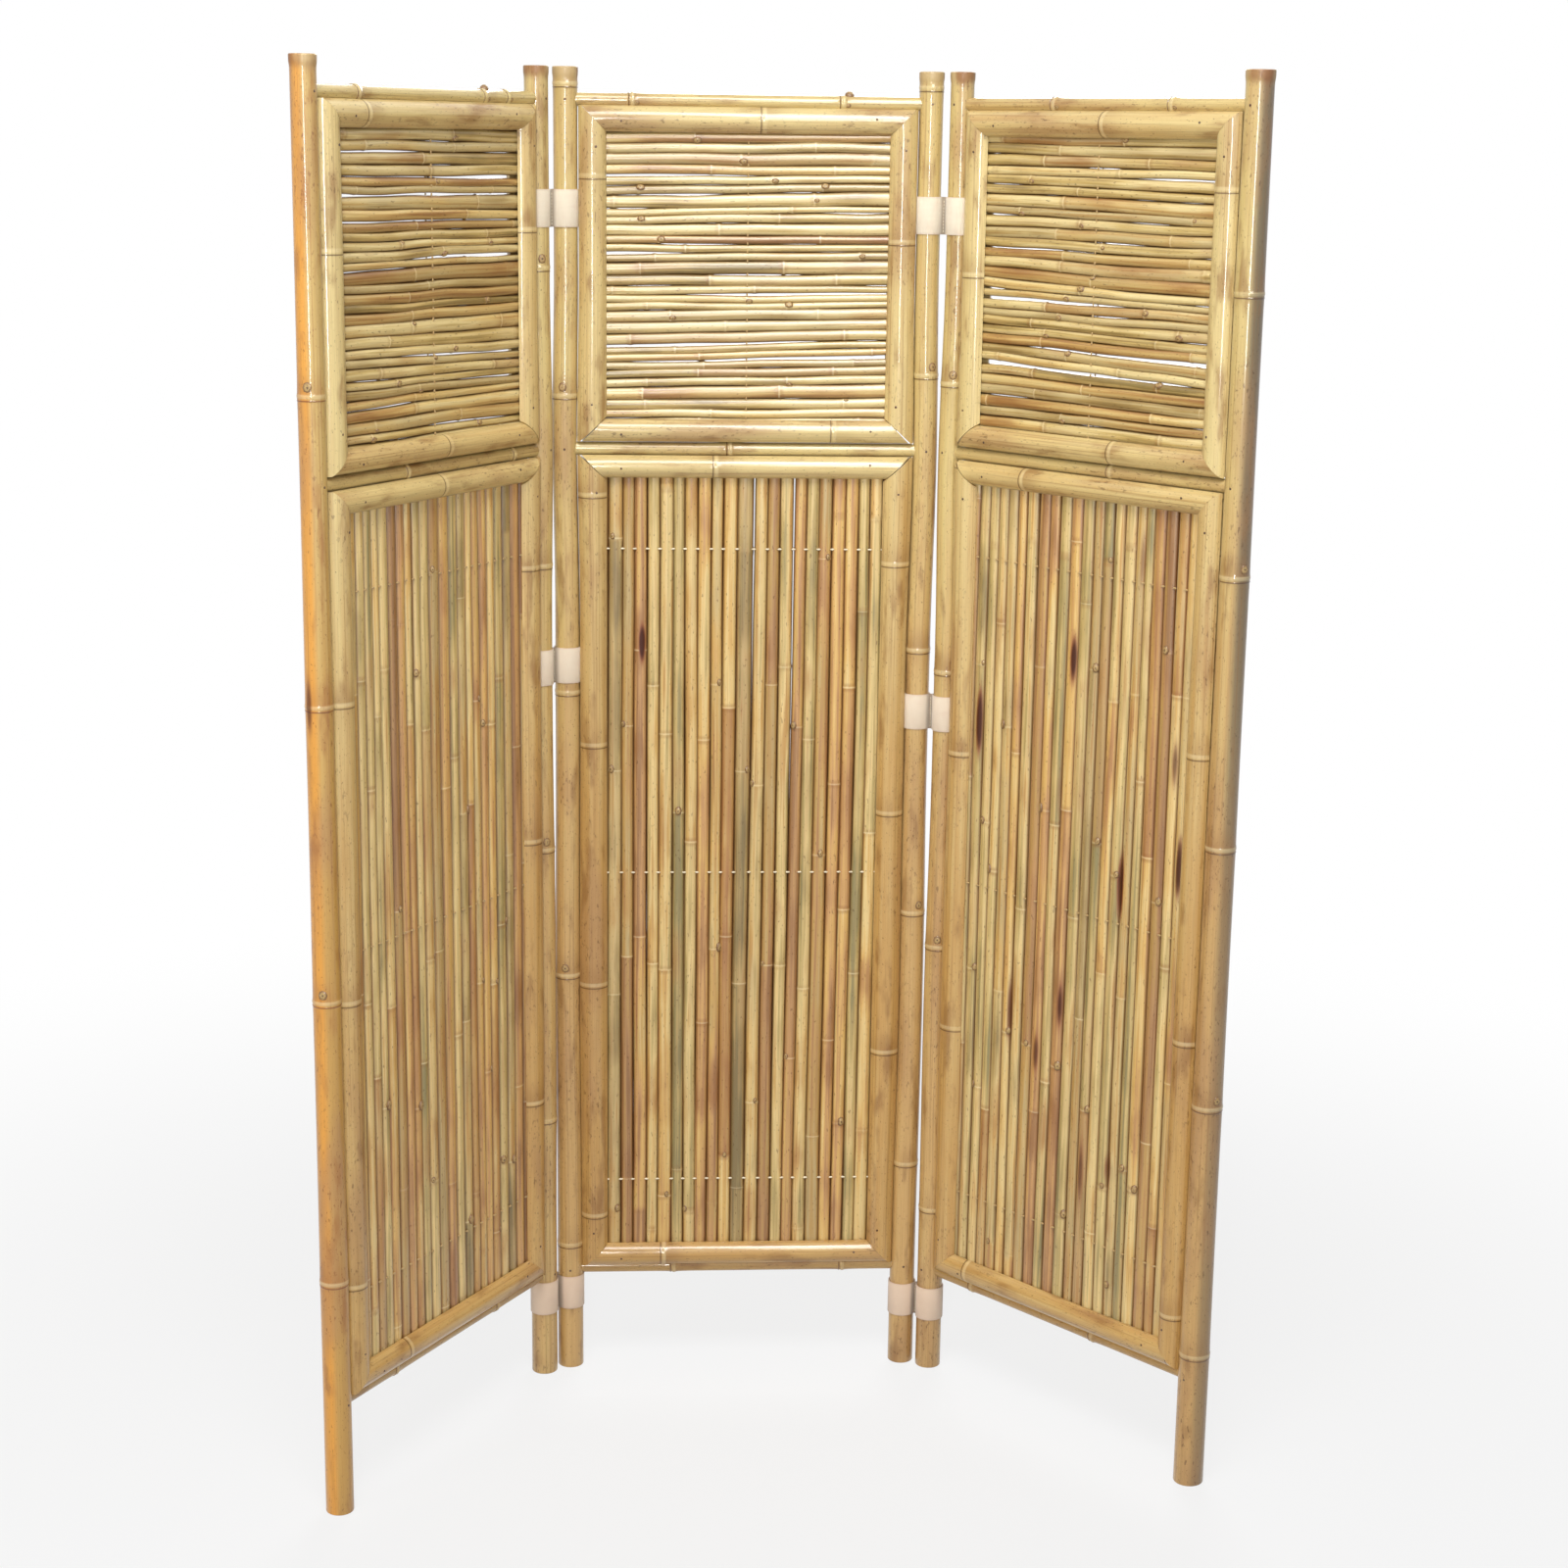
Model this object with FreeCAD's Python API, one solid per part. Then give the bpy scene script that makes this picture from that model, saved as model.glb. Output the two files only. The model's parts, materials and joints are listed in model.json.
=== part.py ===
import FreeCAD, Part
import math
import os

# Folding bamboo screen of three leaves, joined by webbing straps at two fold lines.
# Millimetres, +Z up, back of the screen to +Y, the outer leaves come forward to -Y.

# Leaf frame
leaf_height = 1800.0      # floor to the cut tops of the posts
leaf_span = 474.0         # post axis to post axis in one leaf
culm_d = 34.0             # post diameter between its nodes
culm_sides = 18           # flats that make up its round
node_step = 0.9           # how far the ridge at each node stands out
node_rise = 5.0           # height of the ridge above and below its crest
rail_d = 18.0             # thin poles across the leaf
rail_sides = 16
notch_lean = 16.0         # slope of each side of the notch in a rail end, degrees
top_rail_drop = 41.0      # cut tops of the posts down to the axis of the top rail
upper_band = 448.5        # axis of the top rail down to that of the middle rail
bottom_rail_z = 148.5     # floor to the axis of the bottom rail
cup_d = 23.0             # open top of a post, above its last partition
cup_depth = 9.0

# Split poles that frame each window, front and back
trim_width = 33.0
trim_crown = 13.0         # height of the half-round above its flat
trim_facets = 8           # flats that make up its round
mitre_gap = 0.3

# Stick mats
lower_sticks = 23         # upright sticks, the outer two under the side trims
lower_stick_d = 15.0
upper_sticks = 31         # level sticks, the outer two under the top and bottom trims
upper_stick_d = 12.0
covered_sticks = 2        # sticks of each mat that lie under trims
mat_tuck = 20.0           # how far stick ends reach under the trims
neck = 3.0                # thickness where two sticks meet
crest_share = 0.5         # share of the stick pitch taken by its crest
slit_width = 1.4          # see-through slits between upper sticks
slit_every = 5
thread_bridge = 9.0       # uncut length at the binding thread and at the ends

# Hinge straps
hinge_pitch = 42.0        # post axis to post axis across a fold
strap_height = 48.0
strap_t = 1.0
loop_sides = 16
left_strap_drop = 178.0   # cut tops of the posts down to the middle of the top strap
right_strap_drop = 182.0
left_strap_mid_z = 1020.0    # floor to the middle of the middle and bottom straps
right_strap_mid_z = 957.0
left_strap_foot_z = 115.0
right_strap_foot_z = 98.0
left_fold_angle = 58.0    # degrees that each outer leaf is turned forward from flat
right_fold_angle = 50.0   # degrees

# Fits
seat = 0.2                # between pieces of one leaf
clearance = 0.3           # between straps and posts, and between straps and trims

# Height of the lowest node on each post, and the distance from node to node
post_nodes = {
    "left_leaf_post_outer": (315.0, 367.0),
    "left_leaf_post_inner": (380.0, 389.0),
    "centre_leaf_post_left": (187.0, 398.0),
    "centre_leaf_post_right": (304.0, 369.0),
    "right_leaf_post_inner": (241.0, 387.0),
    "right_leaf_post_outer": (182.0, 340.0),
}

# Which side of each leaf carries which name, from its left to its right
leaf_sides = {
    "left_leaf": ("outer", "inner"),
    "centre_leaf": ("left", "right"),
    "right_leaf": ("inner", "outer"),
}

# Derived sizes
culm_r = culm_d / 2
node_r = culm_r + node_step
rail_r = rail_d / 2
half_span = leaf_span / 2
top_rail_z = leaf_height - top_rail_drop
mid_rail_z = top_rail_z - upper_band
strap_z = {
    "left": (leaf_height - left_strap_drop, left_strap_mid_z, left_strap_foot_z),
    "right": (leaf_height - right_strap_drop, right_strap_mid_z, right_strap_foot_z),
}
loop_flat = math.cos(math.pi / loop_sides)
trim_setback = (node_r + clearance + strap_t) / loop_flat + clearance
window_half = half_span - trim_setback
lower_base = lower_stick_d / 2 + seat
upper_base = upper_stick_d / 2 + seat
lower_bite = math.sqrt(rail_r ** 2 - lower_base ** 2) + seat
upper_bite = math.sqrt(rail_r ** 2 - upper_base ** 2) + seat
upper_z = (mid_rail_z + upper_bite, top_rail_z - upper_bite)
lower_z = (bottom_rail_z + lower_bite, mid_rail_z - lower_bite)
Z = FreeCAD.Vector(0, 0, 1)


def vec(x, y, z=0.0):
    return FreeCAD.Vector(x, y, z)


def prism(points, travel):
    """Solid from a closed outline, pushed along a vector."""
    outline = Part.makePolygon(points + [points[0]])
    return Part.Face(outline).extrude(travel)


def ring(radius, sides, z=0.0):
    """Corners of a regular outline that lies on a circle."""
    steps = [2 * math.pi * i / sides for i in range(sides)]
    return [vec(radius * math.cos(a), radius * math.sin(a), z) for a in steps]


def turned(profile, sides):
    """Turning with flat sides, from (radius, height) pairs, closed at both ends."""
    rings = [ring(r, sides, z) for r, z in profile]
    faces = [Part.Face(Part.makePolygon(end + [end[0]])) for end in (rings[0], rings[-1])]
    for low, high in zip(rings, rings[1:]):
        for i in range(sides):
            j = (i + 1) % sides
            quad = [low[i], low[j], high[j], high[i], low[i]]
            faces.append(Part.Face(Part.makePolygon(quad)))
    return Part.Solid(Part.makeShell(faces))


# Posts: culms with a ridge at every node and an open cup on top

def node_heights(name):
    z, gap = post_nodes[name]
    heights = []
    while z < leaf_height - cup_depth - 2 * node_rise:
        heights.append(z)
        z += gap
    return heights


def culm_radius(name, low, high):
    """Largest radius of a post between two heights."""
    near = [z for z in node_heights(name) if low - node_rise < z < high + node_rise]
    return node_r if near else culm_r


def make_post(name):
    profile = [(culm_r, 0.0)]
    for z in node_heights(name):
        profile += [(culm_r, z - node_rise), (node_r, z), (culm_r, z + node_rise)]
    profile += [(culm_r, leaf_height), (cup_d / 2, leaf_height), (cup_d / 2, leaf_height - cup_depth)]
    return turned(profile, culm_sides)


# Rails: thin poles whose ends are notched to straddle the posts

def make_rail(leaf, z):
    pole = turned([(rail_r, -half_span), (rail_r, half_span)], rail_sides)
    pole = pole.rotated(vec(0, 0), vec(0, 1), 90).translated(vec(0, 0, z))
    lean = math.radians(notch_lean)
    for end, side in zip((-1, 1), leaf_sides[leaf]):
        radius = culm_radius(leaf + "_post_" + side, z - rail_r, z + rail_r) + seat
        deep = half_span - radius / math.cos(lean)
        wide = deep + rail_d * math.tan(lean)
        outline = [(deep, 0), (wide, rail_d), (leaf_span, rail_d), (leaf_span, -rail_d), (wide, -rail_d)]
        notch = prism([vec(end * x, y, z - rail_d) for x, y in outline], vec(0, 0, 2 * rail_d))
        pole = pole.cut(notch)
    return pole


# Trims: split poles laid flat on the mats, mitred at the corners

def half_round(start, end, inward, base, facing):
    """One mitred half of a split pole; start, end and inward are (x, z) pairs."""
    start = vec(start[0], 0, start[1])
    end = vec(end[0], 0, end[1])
    inward = vec(inward[0], 0, inward[1])
    along = (end - start).normalize()
    flat = vec(0, facing * base)
    crown = vec(0, facing * (base + trim_crown))
    arc = Part.Arc(
        start + flat,
        start + inward * (trim_width / 2) + crown,
        start + inward * trim_width + flat,
    )
    bar = prism(arc.discretize(trim_facets + 1), end - start)
    cut_back = along * (mitre_gap / 2)
    corners = [
        start + cut_back,
        end - cut_back,
        end - cut_back + (inward - along) * trim_width,
        start + cut_back + (inward + along) * trim_width,
    ]
    mitre = prism([c + vec(0, facing * base / 2) for c in corners], vec(0, facing * 2 * trim_width))
    return bar.common(mitre)


def make_trims(leaf, window, z_range, base):
    low, high = z_range
    corner = {
        "bottom": ((-window_half, low), (window_half, low), (0, 1)),
        "top": ((-window_half, high), (window_half, high), (0, -1)),
        leaf_sides[leaf][0]: ((-window_half, low), (-window_half, high), (1, 0)),
        leaf_sides[leaf][1]: ((window_half, low), (window_half, high), (-1, 0)),
    }
    trims = {}
    for side, (start, end, inward) in corner.items():
        halves = [half_round(start, end, inward, base, facing) for facing in (-1, 1)]
        trims[leaf + "_" + window + "_trim_" + side] = Part.makeCompound(halves)
    return trims


# Mats: one wall of ridges, a ridge for each stick

def ridge_outline(count, pitch, depth):
    """Outline of a row of sticks, as (along, across) pairs, centred on zero."""
    start = -count * pitch / 2
    slope = pitch * (1 - crest_share) / 2
    front = []
    for i in range(count):
        left = start + i * pitch
        front.append((left, neck / 2))
        front.append((left + slope, depth / 2))
        front.append((left + pitch - slope, depth / 2))
    front.append((start + count * pitch, neck / 2))
    return front + [(a, -b) for a, b in reversed(front)]


def make_lower_mat():
    low = lower_z[0] + trim_width - mat_tuck
    high = lower_z[1] - trim_width + mat_tuck
    pitch = 2 * (window_half - trim_width) / (lower_sticks - covered_sticks)
    outline = [vec(a, b, low) for a, b in ridge_outline(lower_sticks, pitch, lower_stick_d)]
    return prism(outline, vec(0, 0, high - low))


def make_upper_mat():
    low, high = upper_z
    middle = (low + high) / 2
    half = window_half - trim_width + mat_tuck
    pitch = (high - low - 2 * trim_width) / (upper_sticks - covered_sticks)
    outline = [vec(-half, b, middle + a) for a, b in ridge_outline(upper_sticks, pitch, upper_stick_d)]
    mat = prism(outline, vec(2 * half, 0, 0))
    length = half - mat_tuck - 1.5 * thread_bridge
    slits = []
    for i in range(2, upper_sticks - 1, slit_every):
        z = middle - upper_sticks * pitch / 2 + i * pitch
        x = thread_bridge / 2 if i % 2 else -thread_bridge / 2 - length
        slits.append(Part.makeBox(length, upper_stick_d, slit_width, vec(x, -upper_stick_d / 2, z - slit_width / 2)))
    return mat.cut(slits)


# Straps: a webbing loop round each of two neighbouring posts, sewn together between them

def make_strap(here, there, name_here, name_there, z):
    low = z - strap_height / 2
    rise = vec(0, 0, strap_height)
    across = (there - here).cross(Z).normalize() * strap_t
    corners = [here + across, here - across, there - across, there + across]
    strap = prism([c + vec(0, 0, low) for c in corners], rise)
    bores = []
    for axis, name in ((here, name_here), (there, name_there)):
        radius = culm_radius(name, low, low + strap_height) + clearance
        inner = [axis + c for c in ring(radius / loop_flat, loop_sides, low)]
        outer = [axis + c for c in ring((radius + strap_t) / loop_flat, loop_sides, low)]
        strap = strap.fuse(prism(outer, rise))
        bores.append(prism(inner, rise))
    return strap.cut(bores).removeSplitter()


# Plan of the screen: where each leaf stands

def direction(degrees):
    return vec(math.cos(math.radians(degrees)), math.sin(math.radians(degrees)))


centre_left = vec(-half_span, 0)
centre_right = vec(half_span, 0)
left_inner = centre_left - direction(left_fold_angle / 2) * hinge_pitch
left_outer = left_inner - direction(left_fold_angle) * leaf_span
right_inner = centre_right + direction(-right_fold_angle / 2) * hinge_pitch
right_outer = right_inner + direction(-right_fold_angle) * leaf_span
back_y = lower_base + trim_crown
front_y = min(left_outer.y, right_outer.y) - node_r
middle_x = (left_outer.x + right_outer.x) / 2
to_origin = vec(-middle_x, -(front_y + back_y) / 2)

leaf_places = {
    "left_leaf": ((left_inner + left_outer) / 2, left_fold_angle),
    "centre_leaf": (vec(0, 0), 0.0),
    "right_leaf": ((right_inner + right_outer) / 2, -right_fold_angle),
}


def make_leaf(leaf):
    """All pieces of one leaf in its own frame, its middle on the origin."""
    pieces = {}
    for x, side in zip((-half_span, half_span), leaf_sides[leaf]):
        name = leaf + "_post_" + side
        pieces[name] = make_post(name).translated(vec(x, 0))
    for name, z in (("top", top_rail_z), ("mid", mid_rail_z), ("bottom", bottom_rail_z)):
        pieces[leaf + "_rail_" + name] = make_rail(leaf, z)
    pieces[leaf + "_upper_mat"] = make_upper_mat()
    pieces[leaf + "_lower_mat"] = make_lower_mat()
    pieces.update(make_trims(leaf, "upper", upper_z, upper_base))
    pieces.update(make_trims(leaf, "lower", lower_z, lower_base))
    return pieces


nodes = {}
for leaf, (place, turn) in leaf_places.items():
    for name, shape in make_leaf(leaf).items():
        nodes[name] = shape.rotated(vec(0, 0), Z, turn).translated(place)

folds = {
    "left": (centre_left, left_inner, "centre_leaf_post_left", "left_leaf_post_inner"),
    "right": (centre_right, right_inner, "centre_leaf_post_right", "right_leaf_post_inner"),
}
for side, (here, there, name_here, name_there) in folds.items():
    for level, z in zip(("top", "middle", "bottom"), strap_z[side]):
        nodes[side + "_strap_" + level] = make_strap(here, there, name_here, name_there, z)

os.makedirs("parts", exist_ok=True)
for name, shape in nodes.items():
    shape.translated(to_origin).exportStep("parts/" + name + ".step")
print(len(nodes), "pieces")
for name, point in (("centre_left", centre_left), ("left_inner", left_inner), ("left_outer", left_outer),
                    ("centre_right", centre_right), ("right_inner", right_inner), ("right_outer", right_outer)):
    place = point + to_origin
    print(name, "axis at x %.3f y %.3f" % (place.x, place.y))
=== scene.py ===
# %% [markdown]
# Bamboo folding screen
#
# Three leaves of lacquered bamboo stand in a zigzag. Whole culms are the posts, thin poles are the
# rails, split poles frame two windows in each leaf, and reed mats fill the windows. Webbing straps tie
# the leaves together. The measured frame already holds every piece at its size and place, as plain
# flat-sided solids. This lesson dresses it: each solid is replaced by a round, jointed, coloured piece
# of the same form.

# %% Load the frame
import json
import math

import bpy
import numpy as np
from mathutils import Matrix, Vector

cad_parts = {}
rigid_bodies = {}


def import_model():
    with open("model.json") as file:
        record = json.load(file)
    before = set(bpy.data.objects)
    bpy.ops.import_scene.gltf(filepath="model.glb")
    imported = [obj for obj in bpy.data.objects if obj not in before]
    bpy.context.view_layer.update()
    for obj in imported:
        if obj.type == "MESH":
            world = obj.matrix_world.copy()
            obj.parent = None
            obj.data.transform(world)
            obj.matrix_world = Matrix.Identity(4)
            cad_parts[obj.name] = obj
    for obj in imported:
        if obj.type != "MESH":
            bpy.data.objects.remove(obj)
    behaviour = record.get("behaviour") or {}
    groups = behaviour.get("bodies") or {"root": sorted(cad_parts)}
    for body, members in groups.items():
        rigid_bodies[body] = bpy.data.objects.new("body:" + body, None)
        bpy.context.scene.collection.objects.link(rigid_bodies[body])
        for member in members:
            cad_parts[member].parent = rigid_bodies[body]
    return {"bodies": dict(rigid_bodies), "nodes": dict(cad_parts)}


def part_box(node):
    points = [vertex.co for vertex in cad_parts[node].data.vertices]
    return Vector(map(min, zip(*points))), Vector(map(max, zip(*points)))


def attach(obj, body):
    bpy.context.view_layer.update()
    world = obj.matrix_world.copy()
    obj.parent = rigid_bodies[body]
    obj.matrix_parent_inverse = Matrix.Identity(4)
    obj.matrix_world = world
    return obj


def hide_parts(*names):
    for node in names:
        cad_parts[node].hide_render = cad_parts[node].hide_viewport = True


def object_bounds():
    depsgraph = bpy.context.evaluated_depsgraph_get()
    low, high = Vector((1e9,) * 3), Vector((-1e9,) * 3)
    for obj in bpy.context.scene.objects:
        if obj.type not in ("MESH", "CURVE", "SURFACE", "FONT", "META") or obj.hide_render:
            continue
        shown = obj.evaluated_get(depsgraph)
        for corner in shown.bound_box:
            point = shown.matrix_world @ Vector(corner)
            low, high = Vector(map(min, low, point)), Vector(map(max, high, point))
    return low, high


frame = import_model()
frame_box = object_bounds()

mm = 0.001
print("frame:", len(frame["nodes"]), "nodes on", len(frame["bodies"]), "bodies")

# %% [markdown]
# The outer leaves are turned, so nothing on them lines up with X or Y. Each leaf gets a frame of its
# own: X runs from its left post to its right post, Y points to its back, Z is up, and the origin lies on
# the floor halfway between the posts. Pieces are made in that frame, where they are straight and level,
# and one matrix then carries their vertices into place. The posts' boxes give the matrix, so no angle is
# typed.

# %% Leaf frames
leaf_sides = {
    "left_leaf": ("outer", "inner"),
    "centre_leaf": ("left", "right"),
    "right_leaf": ("inner", "outer"),
}
up = Vector((0, 0, 1))


def middle_of(node):
    low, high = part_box(node)
    return (low + high) / 2


def post_of(leaf, side):
    return leaf + "_post_" + side


def leaf_frame(leaf):
    first, last = [middle_of(post_of(leaf, side)) for side in leaf_sides[leaf]]
    along = (last - first).normalized()
    place = Matrix((along, up.cross(along), up)).transposed().to_4x4()
    place.translation = ((first.x + last.x) / 2, (first.y + last.y) / 2, 0)
    return place


def local_points(node, leaf):
    """Corners of a CAD solid, in the frame of its leaf."""
    home = leaf_place[leaf].inverted()
    return np.array([home @ v.co for v in frame["nodes"][node].data.vertices])


def local_box(node, leaf):
    """Lowest and highest corner of a CAD solid, in the frame of its leaf."""
    corners = local_points(node, leaf)
    return corners.min(0), corners.max(0)


def half_span(leaf, side):
    """Distance of a post's axis from the middle of its leaf."""
    return (middle_of(post_of(leaf, side)) - leaf_place[leaf].translation).xy.length


leaf_place = {leaf: leaf_frame(leaf) for leaf in leaf_sides}
for leaf, place in leaf_place.items():
    print(leaf, "turned", round(math.degrees(place.to_euler().z), 1), "degrees")

# %% [markdown]
# Finishes and repeated pieces are both node trees. Wiring nodes by hand hides the idea behind the
# plumbing, so two small classes turn it into arithmetic. The first is a Wire, a socket that can be added
# and multiplied. An expression such as 1 - wire * 0.5 then adds its Math nodes by itself.

# %% Wires
class Wire:
    """A socket that takes part in Python arithmetic: each operation adds a Math node."""

    def __init__(self, graph, socket):
        self.graph = graph
        self.socket = socket

    def __getitem__(self, name):
        """Another output of the same node, by its name."""
        return Wire(self.graph, self.graph.find(self.socket.node.outputs, name))

    def __add__(self, value):
        return self.graph.math("ADD", self, value)

    def __sub__(self, value):
        return self.graph.math("SUBTRACT", self, value)

    def __rsub__(self, value):
        return self.graph.math("SUBTRACT", value, self)

    def __mul__(self, value):
        return self.graph.math("MULTIPLY", self, value)

    def __truediv__(self, value):
        return self.graph.math("DIVIDE", self, value)

    __radd__ = __add__
    __rmul__ = __mul__


print("wires: sockets can be added, subtracted, multiplied and divided")

# %% [markdown]
# The second class is a Graph, a tree with one method that adds any node. Its other methods are short
# names for the few nodes that are needed everywhere. One class serves shaders and Geometry Nodes,
# because both have the Math, Vector Math, Map Range, Noise Texture and Mix nodes.

# %% Graphs
class Graph:
    """A node tree that is written as expressions."""

    def __init__(self, tree):
        self.tree = tree

    def find(self, sockets, name):
        if isinstance(name, int):
            return sockets[name]
        return [s for s in sockets if s.enabled and name in (None, s.name)][0]

    def add(self, kind, settings=None, sockets=None, out=None):
        """A node of any kind: its settings first, then the values or links of its sockets."""
        node = self.tree.nodes.new(kind)
        for name, value in (settings or {}).items():
            if name == "stops":
                while len(node.color_ramp.elements) < len(value):
                    node.color_ramp.elements.new(1.0)
                for stop, (place, colour) in zip(node.color_ramp.elements, value):
                    stop.position = place
                    stop.color = colour
            else:
                setattr(node, name, value)
        for name, value in (sockets or {}).items():
            socket = self.find(node.inputs, name)
            if isinstance(value, Wire):
                self.tree.links.new(value.socket, socket)
            else:
                socket.default_value = value
        return Wire(self, self.find(node.outputs, out)) if node.outputs else node

    def math(self, operation, *values):
        return self.add("ShaderNodeMath", {"operation": operation}, dict(enumerate(values)))

    def vector(self, operation, *values):
        return self.add("ShaderNodeVectorMath", {"operation": operation}, dict(enumerate(values)))

    def join(self, x, y, z):
        return self.add("ShaderNodeCombineXYZ", {}, {"X": x, "Y": y, "Z": z})

    def part(self, vector, axis):
        return self.add("ShaderNodeSeparateXYZ", {}, {0: vector}, axis)

    def step(self, value, low, high):
        """A smooth step from 0 at low to 1 at high; low may be the larger one."""
        return self.add("ShaderNodeMapRange", {"interpolation_type": "SMOOTHSTEP"},
                        {"Value": value, "From Min": low, "From Max": high})

    def near(self, value, place, half):
        """1 where a value is at a place, 0 from half away on."""
        return self.step(self.math("ABSOLUTE", value - place), half, 0.0)

    def noise(self, vector, detail=2.0):
        return self.add("ShaderNodeTexNoise", {}, {"Vector": vector, "Scale": 1.0, "Detail": detail})

    def blend(self, factor, a, b):
        """A mix of two colours."""
        return self.add("ShaderNodeMix", {"data_type": "RGBA"}, {"Factor": factor, "A": a, "B": b})

    def place(self):
        """Where a point lies, in Object coordinates."""
        return self.add("ShaderNodeTexCoord", {}, {}, "Object")

    def bump(self, height, strength, distance):
        return self.add("ShaderNodeBump", {},
                        {"Strength": strength, "Distance": distance, "Height": height})


print("graph methods:", [name for name in vars(Graph) if not name.startswith("_")])

# %% [markdown]
# Colours are written as they look on a screen, in hex. Blender calculates with linear light, so one
# helper changes the scale. A finish starts from a Principled shader, whose constant sockets are set
# directly. Most finishes are then a ground colour with one tint after another laid over it, where some
# pattern is strong enough.

# %% Colours and finishes
def colour(code):
    shares = [int(code[i:i + 2], 16) / 255 for i in (0, 2, 4)]
    linear = [s / 12.92 if s <= 0.04045 else ((s + 0.055) / 1.055) ** 2.4 for s in shares]
    return (*linear, 1.0)


def tint(g, skin, amount, hue):
    """A colour with some of another hue laid over it."""
    return g.blend(amount, skin, colour(hue))


def mottle(g, skin, layers):
    """Tints that set in as a pattern rises from low to high, each with its own strength and hue."""
    for pattern, low, high, strength, hue in layers:
        skin = tint(g, skin, g.step(pattern, low, high) * strength, hue)
    return skin


def new_finish(name, constants):
    """A material, the graph of its nodes, and a function that feeds its shader."""
    material = bpy.data.materials.new(name)
    material.use_nodes = True
    graph = Graph(material.node_tree)
    shader = material.node_tree.nodes["Principled BSDF"]
    for socket, value in constants.items():
        shader.inputs[socket].default_value = value

    def feed(socket, wire):
        material.node_tree.links.new(wire.socket, shader.inputs[socket])

    return material, graph, feed


print("straw in linear light:", [round(c, 3) for c in colour("d8bd80")])

# %% [markdown]
# Bamboo is a grass: a hard glossy skin over long straight fibres, crossed by a node every hand or two.
# Under each node runs the thin dark scar of the old sheath, and above it the skin browns. Every pole
# carries what the shader needs as attributes: grain (a point in the pole's own frame, with Z along the
# pole), tone (three random numbers), node (how far the nearest node is, and on which side) and cut (1 on
# sawn faces). Noise that is stretched along grain Z gives fibres and streaks that run true on every
# turned leaf. A scorch mark, left here and there where the green culm was heated straight, is placed in
# Object coordinates instead: a long narrow spot with a charred core.

# %% Marks on bamboo
sheath_line = 5 * mm
browned_reach = 40 * mm
scorch_half_width = 7 * mm


def stretched_noise(g, grain, across, along, detail=2.0):
    """Noise with features 1/across metres wide and 1/along metres long."""
    return g.noise(g.vector("MULTIPLY", grain, (across, across, along)), detail)


def attribute(g, name, out):
    return g.add("ShaderNodeAttribute", {"attribute_name": name}, {}, out)


def node_colours(g, skin, cloud, brown, line):
    """The marks of a node: a dark scar with a light lip, and browned skin above it."""
    node = attribute(g, "node", "Vector")
    away = g.part(node, "X")
    above = g.step(g.part(node, "Y"), 0.0, 0.6)
    warm = g.step(away, browned_reach, 2 * mm) * (0.15 + above * 0.35) * g.step(cloud, 0.25, 0.7)
    skin = tint(g, skin, warm, brown)
    skin = tint(g, skin, g.near(away, 1 * mm, 2.5 * mm) * (0.1 + cloud * 0.4), "f0dfae")
    return tint(g, skin, g.near(away, sheath_line, 1.6 * mm) * (1 - above) * 0.8, line)


def scorched(g, skin, cloud, scorches):
    """Skin with scorch marks, and where it is charred; a mark is a place, half length and strength."""
    place = g.place()
    charred = 0.0
    for spot, reach, strength in scorches:
        size = (scorch_half_width, scorch_half_width, reach)
        gap = g.vector("DIVIDE", g.vector("SUBTRACT", place, tuple(spot)), size)
        mark = g.step(g.vector("LENGTH", gap) + (cloud - 0.5) * 0.8, 1.15, 0.2) * strength
        skin = tint(g, skin, g.step(mark, 0.0, 0.6) * strength, "8a4a22")
        core = g.step(mark, 0.3, 0.8)
        skin = tint(g, skin, core * 0.92, "3a160a")
        charred = g.math("MAXIMUM", core, charred)
    return skin, charred


print("marks: a dark line", round(sheath_line / mm), "mm under each node")

# %% [markdown]
# One function mixes the whole skin, because posts, rails and split poles differ only in hue and in how
# much browner they grow towards the feet. Object coordinates add what belongs to the place on the
# screen: the feet are a duller brown, and the sawn heads of the posts have lost their gloss. The two
# outermost posts also differ from side to side: the left one is golden on its outer side, and the right
# one carries painted shade on its right side, a dark grey that is strongest towards the head.

# %% Bamboo skin
screen_top = frame_box[1][2]
head_band = (screen_top - 22 * mm, screen_top - 6 * mm)


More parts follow.
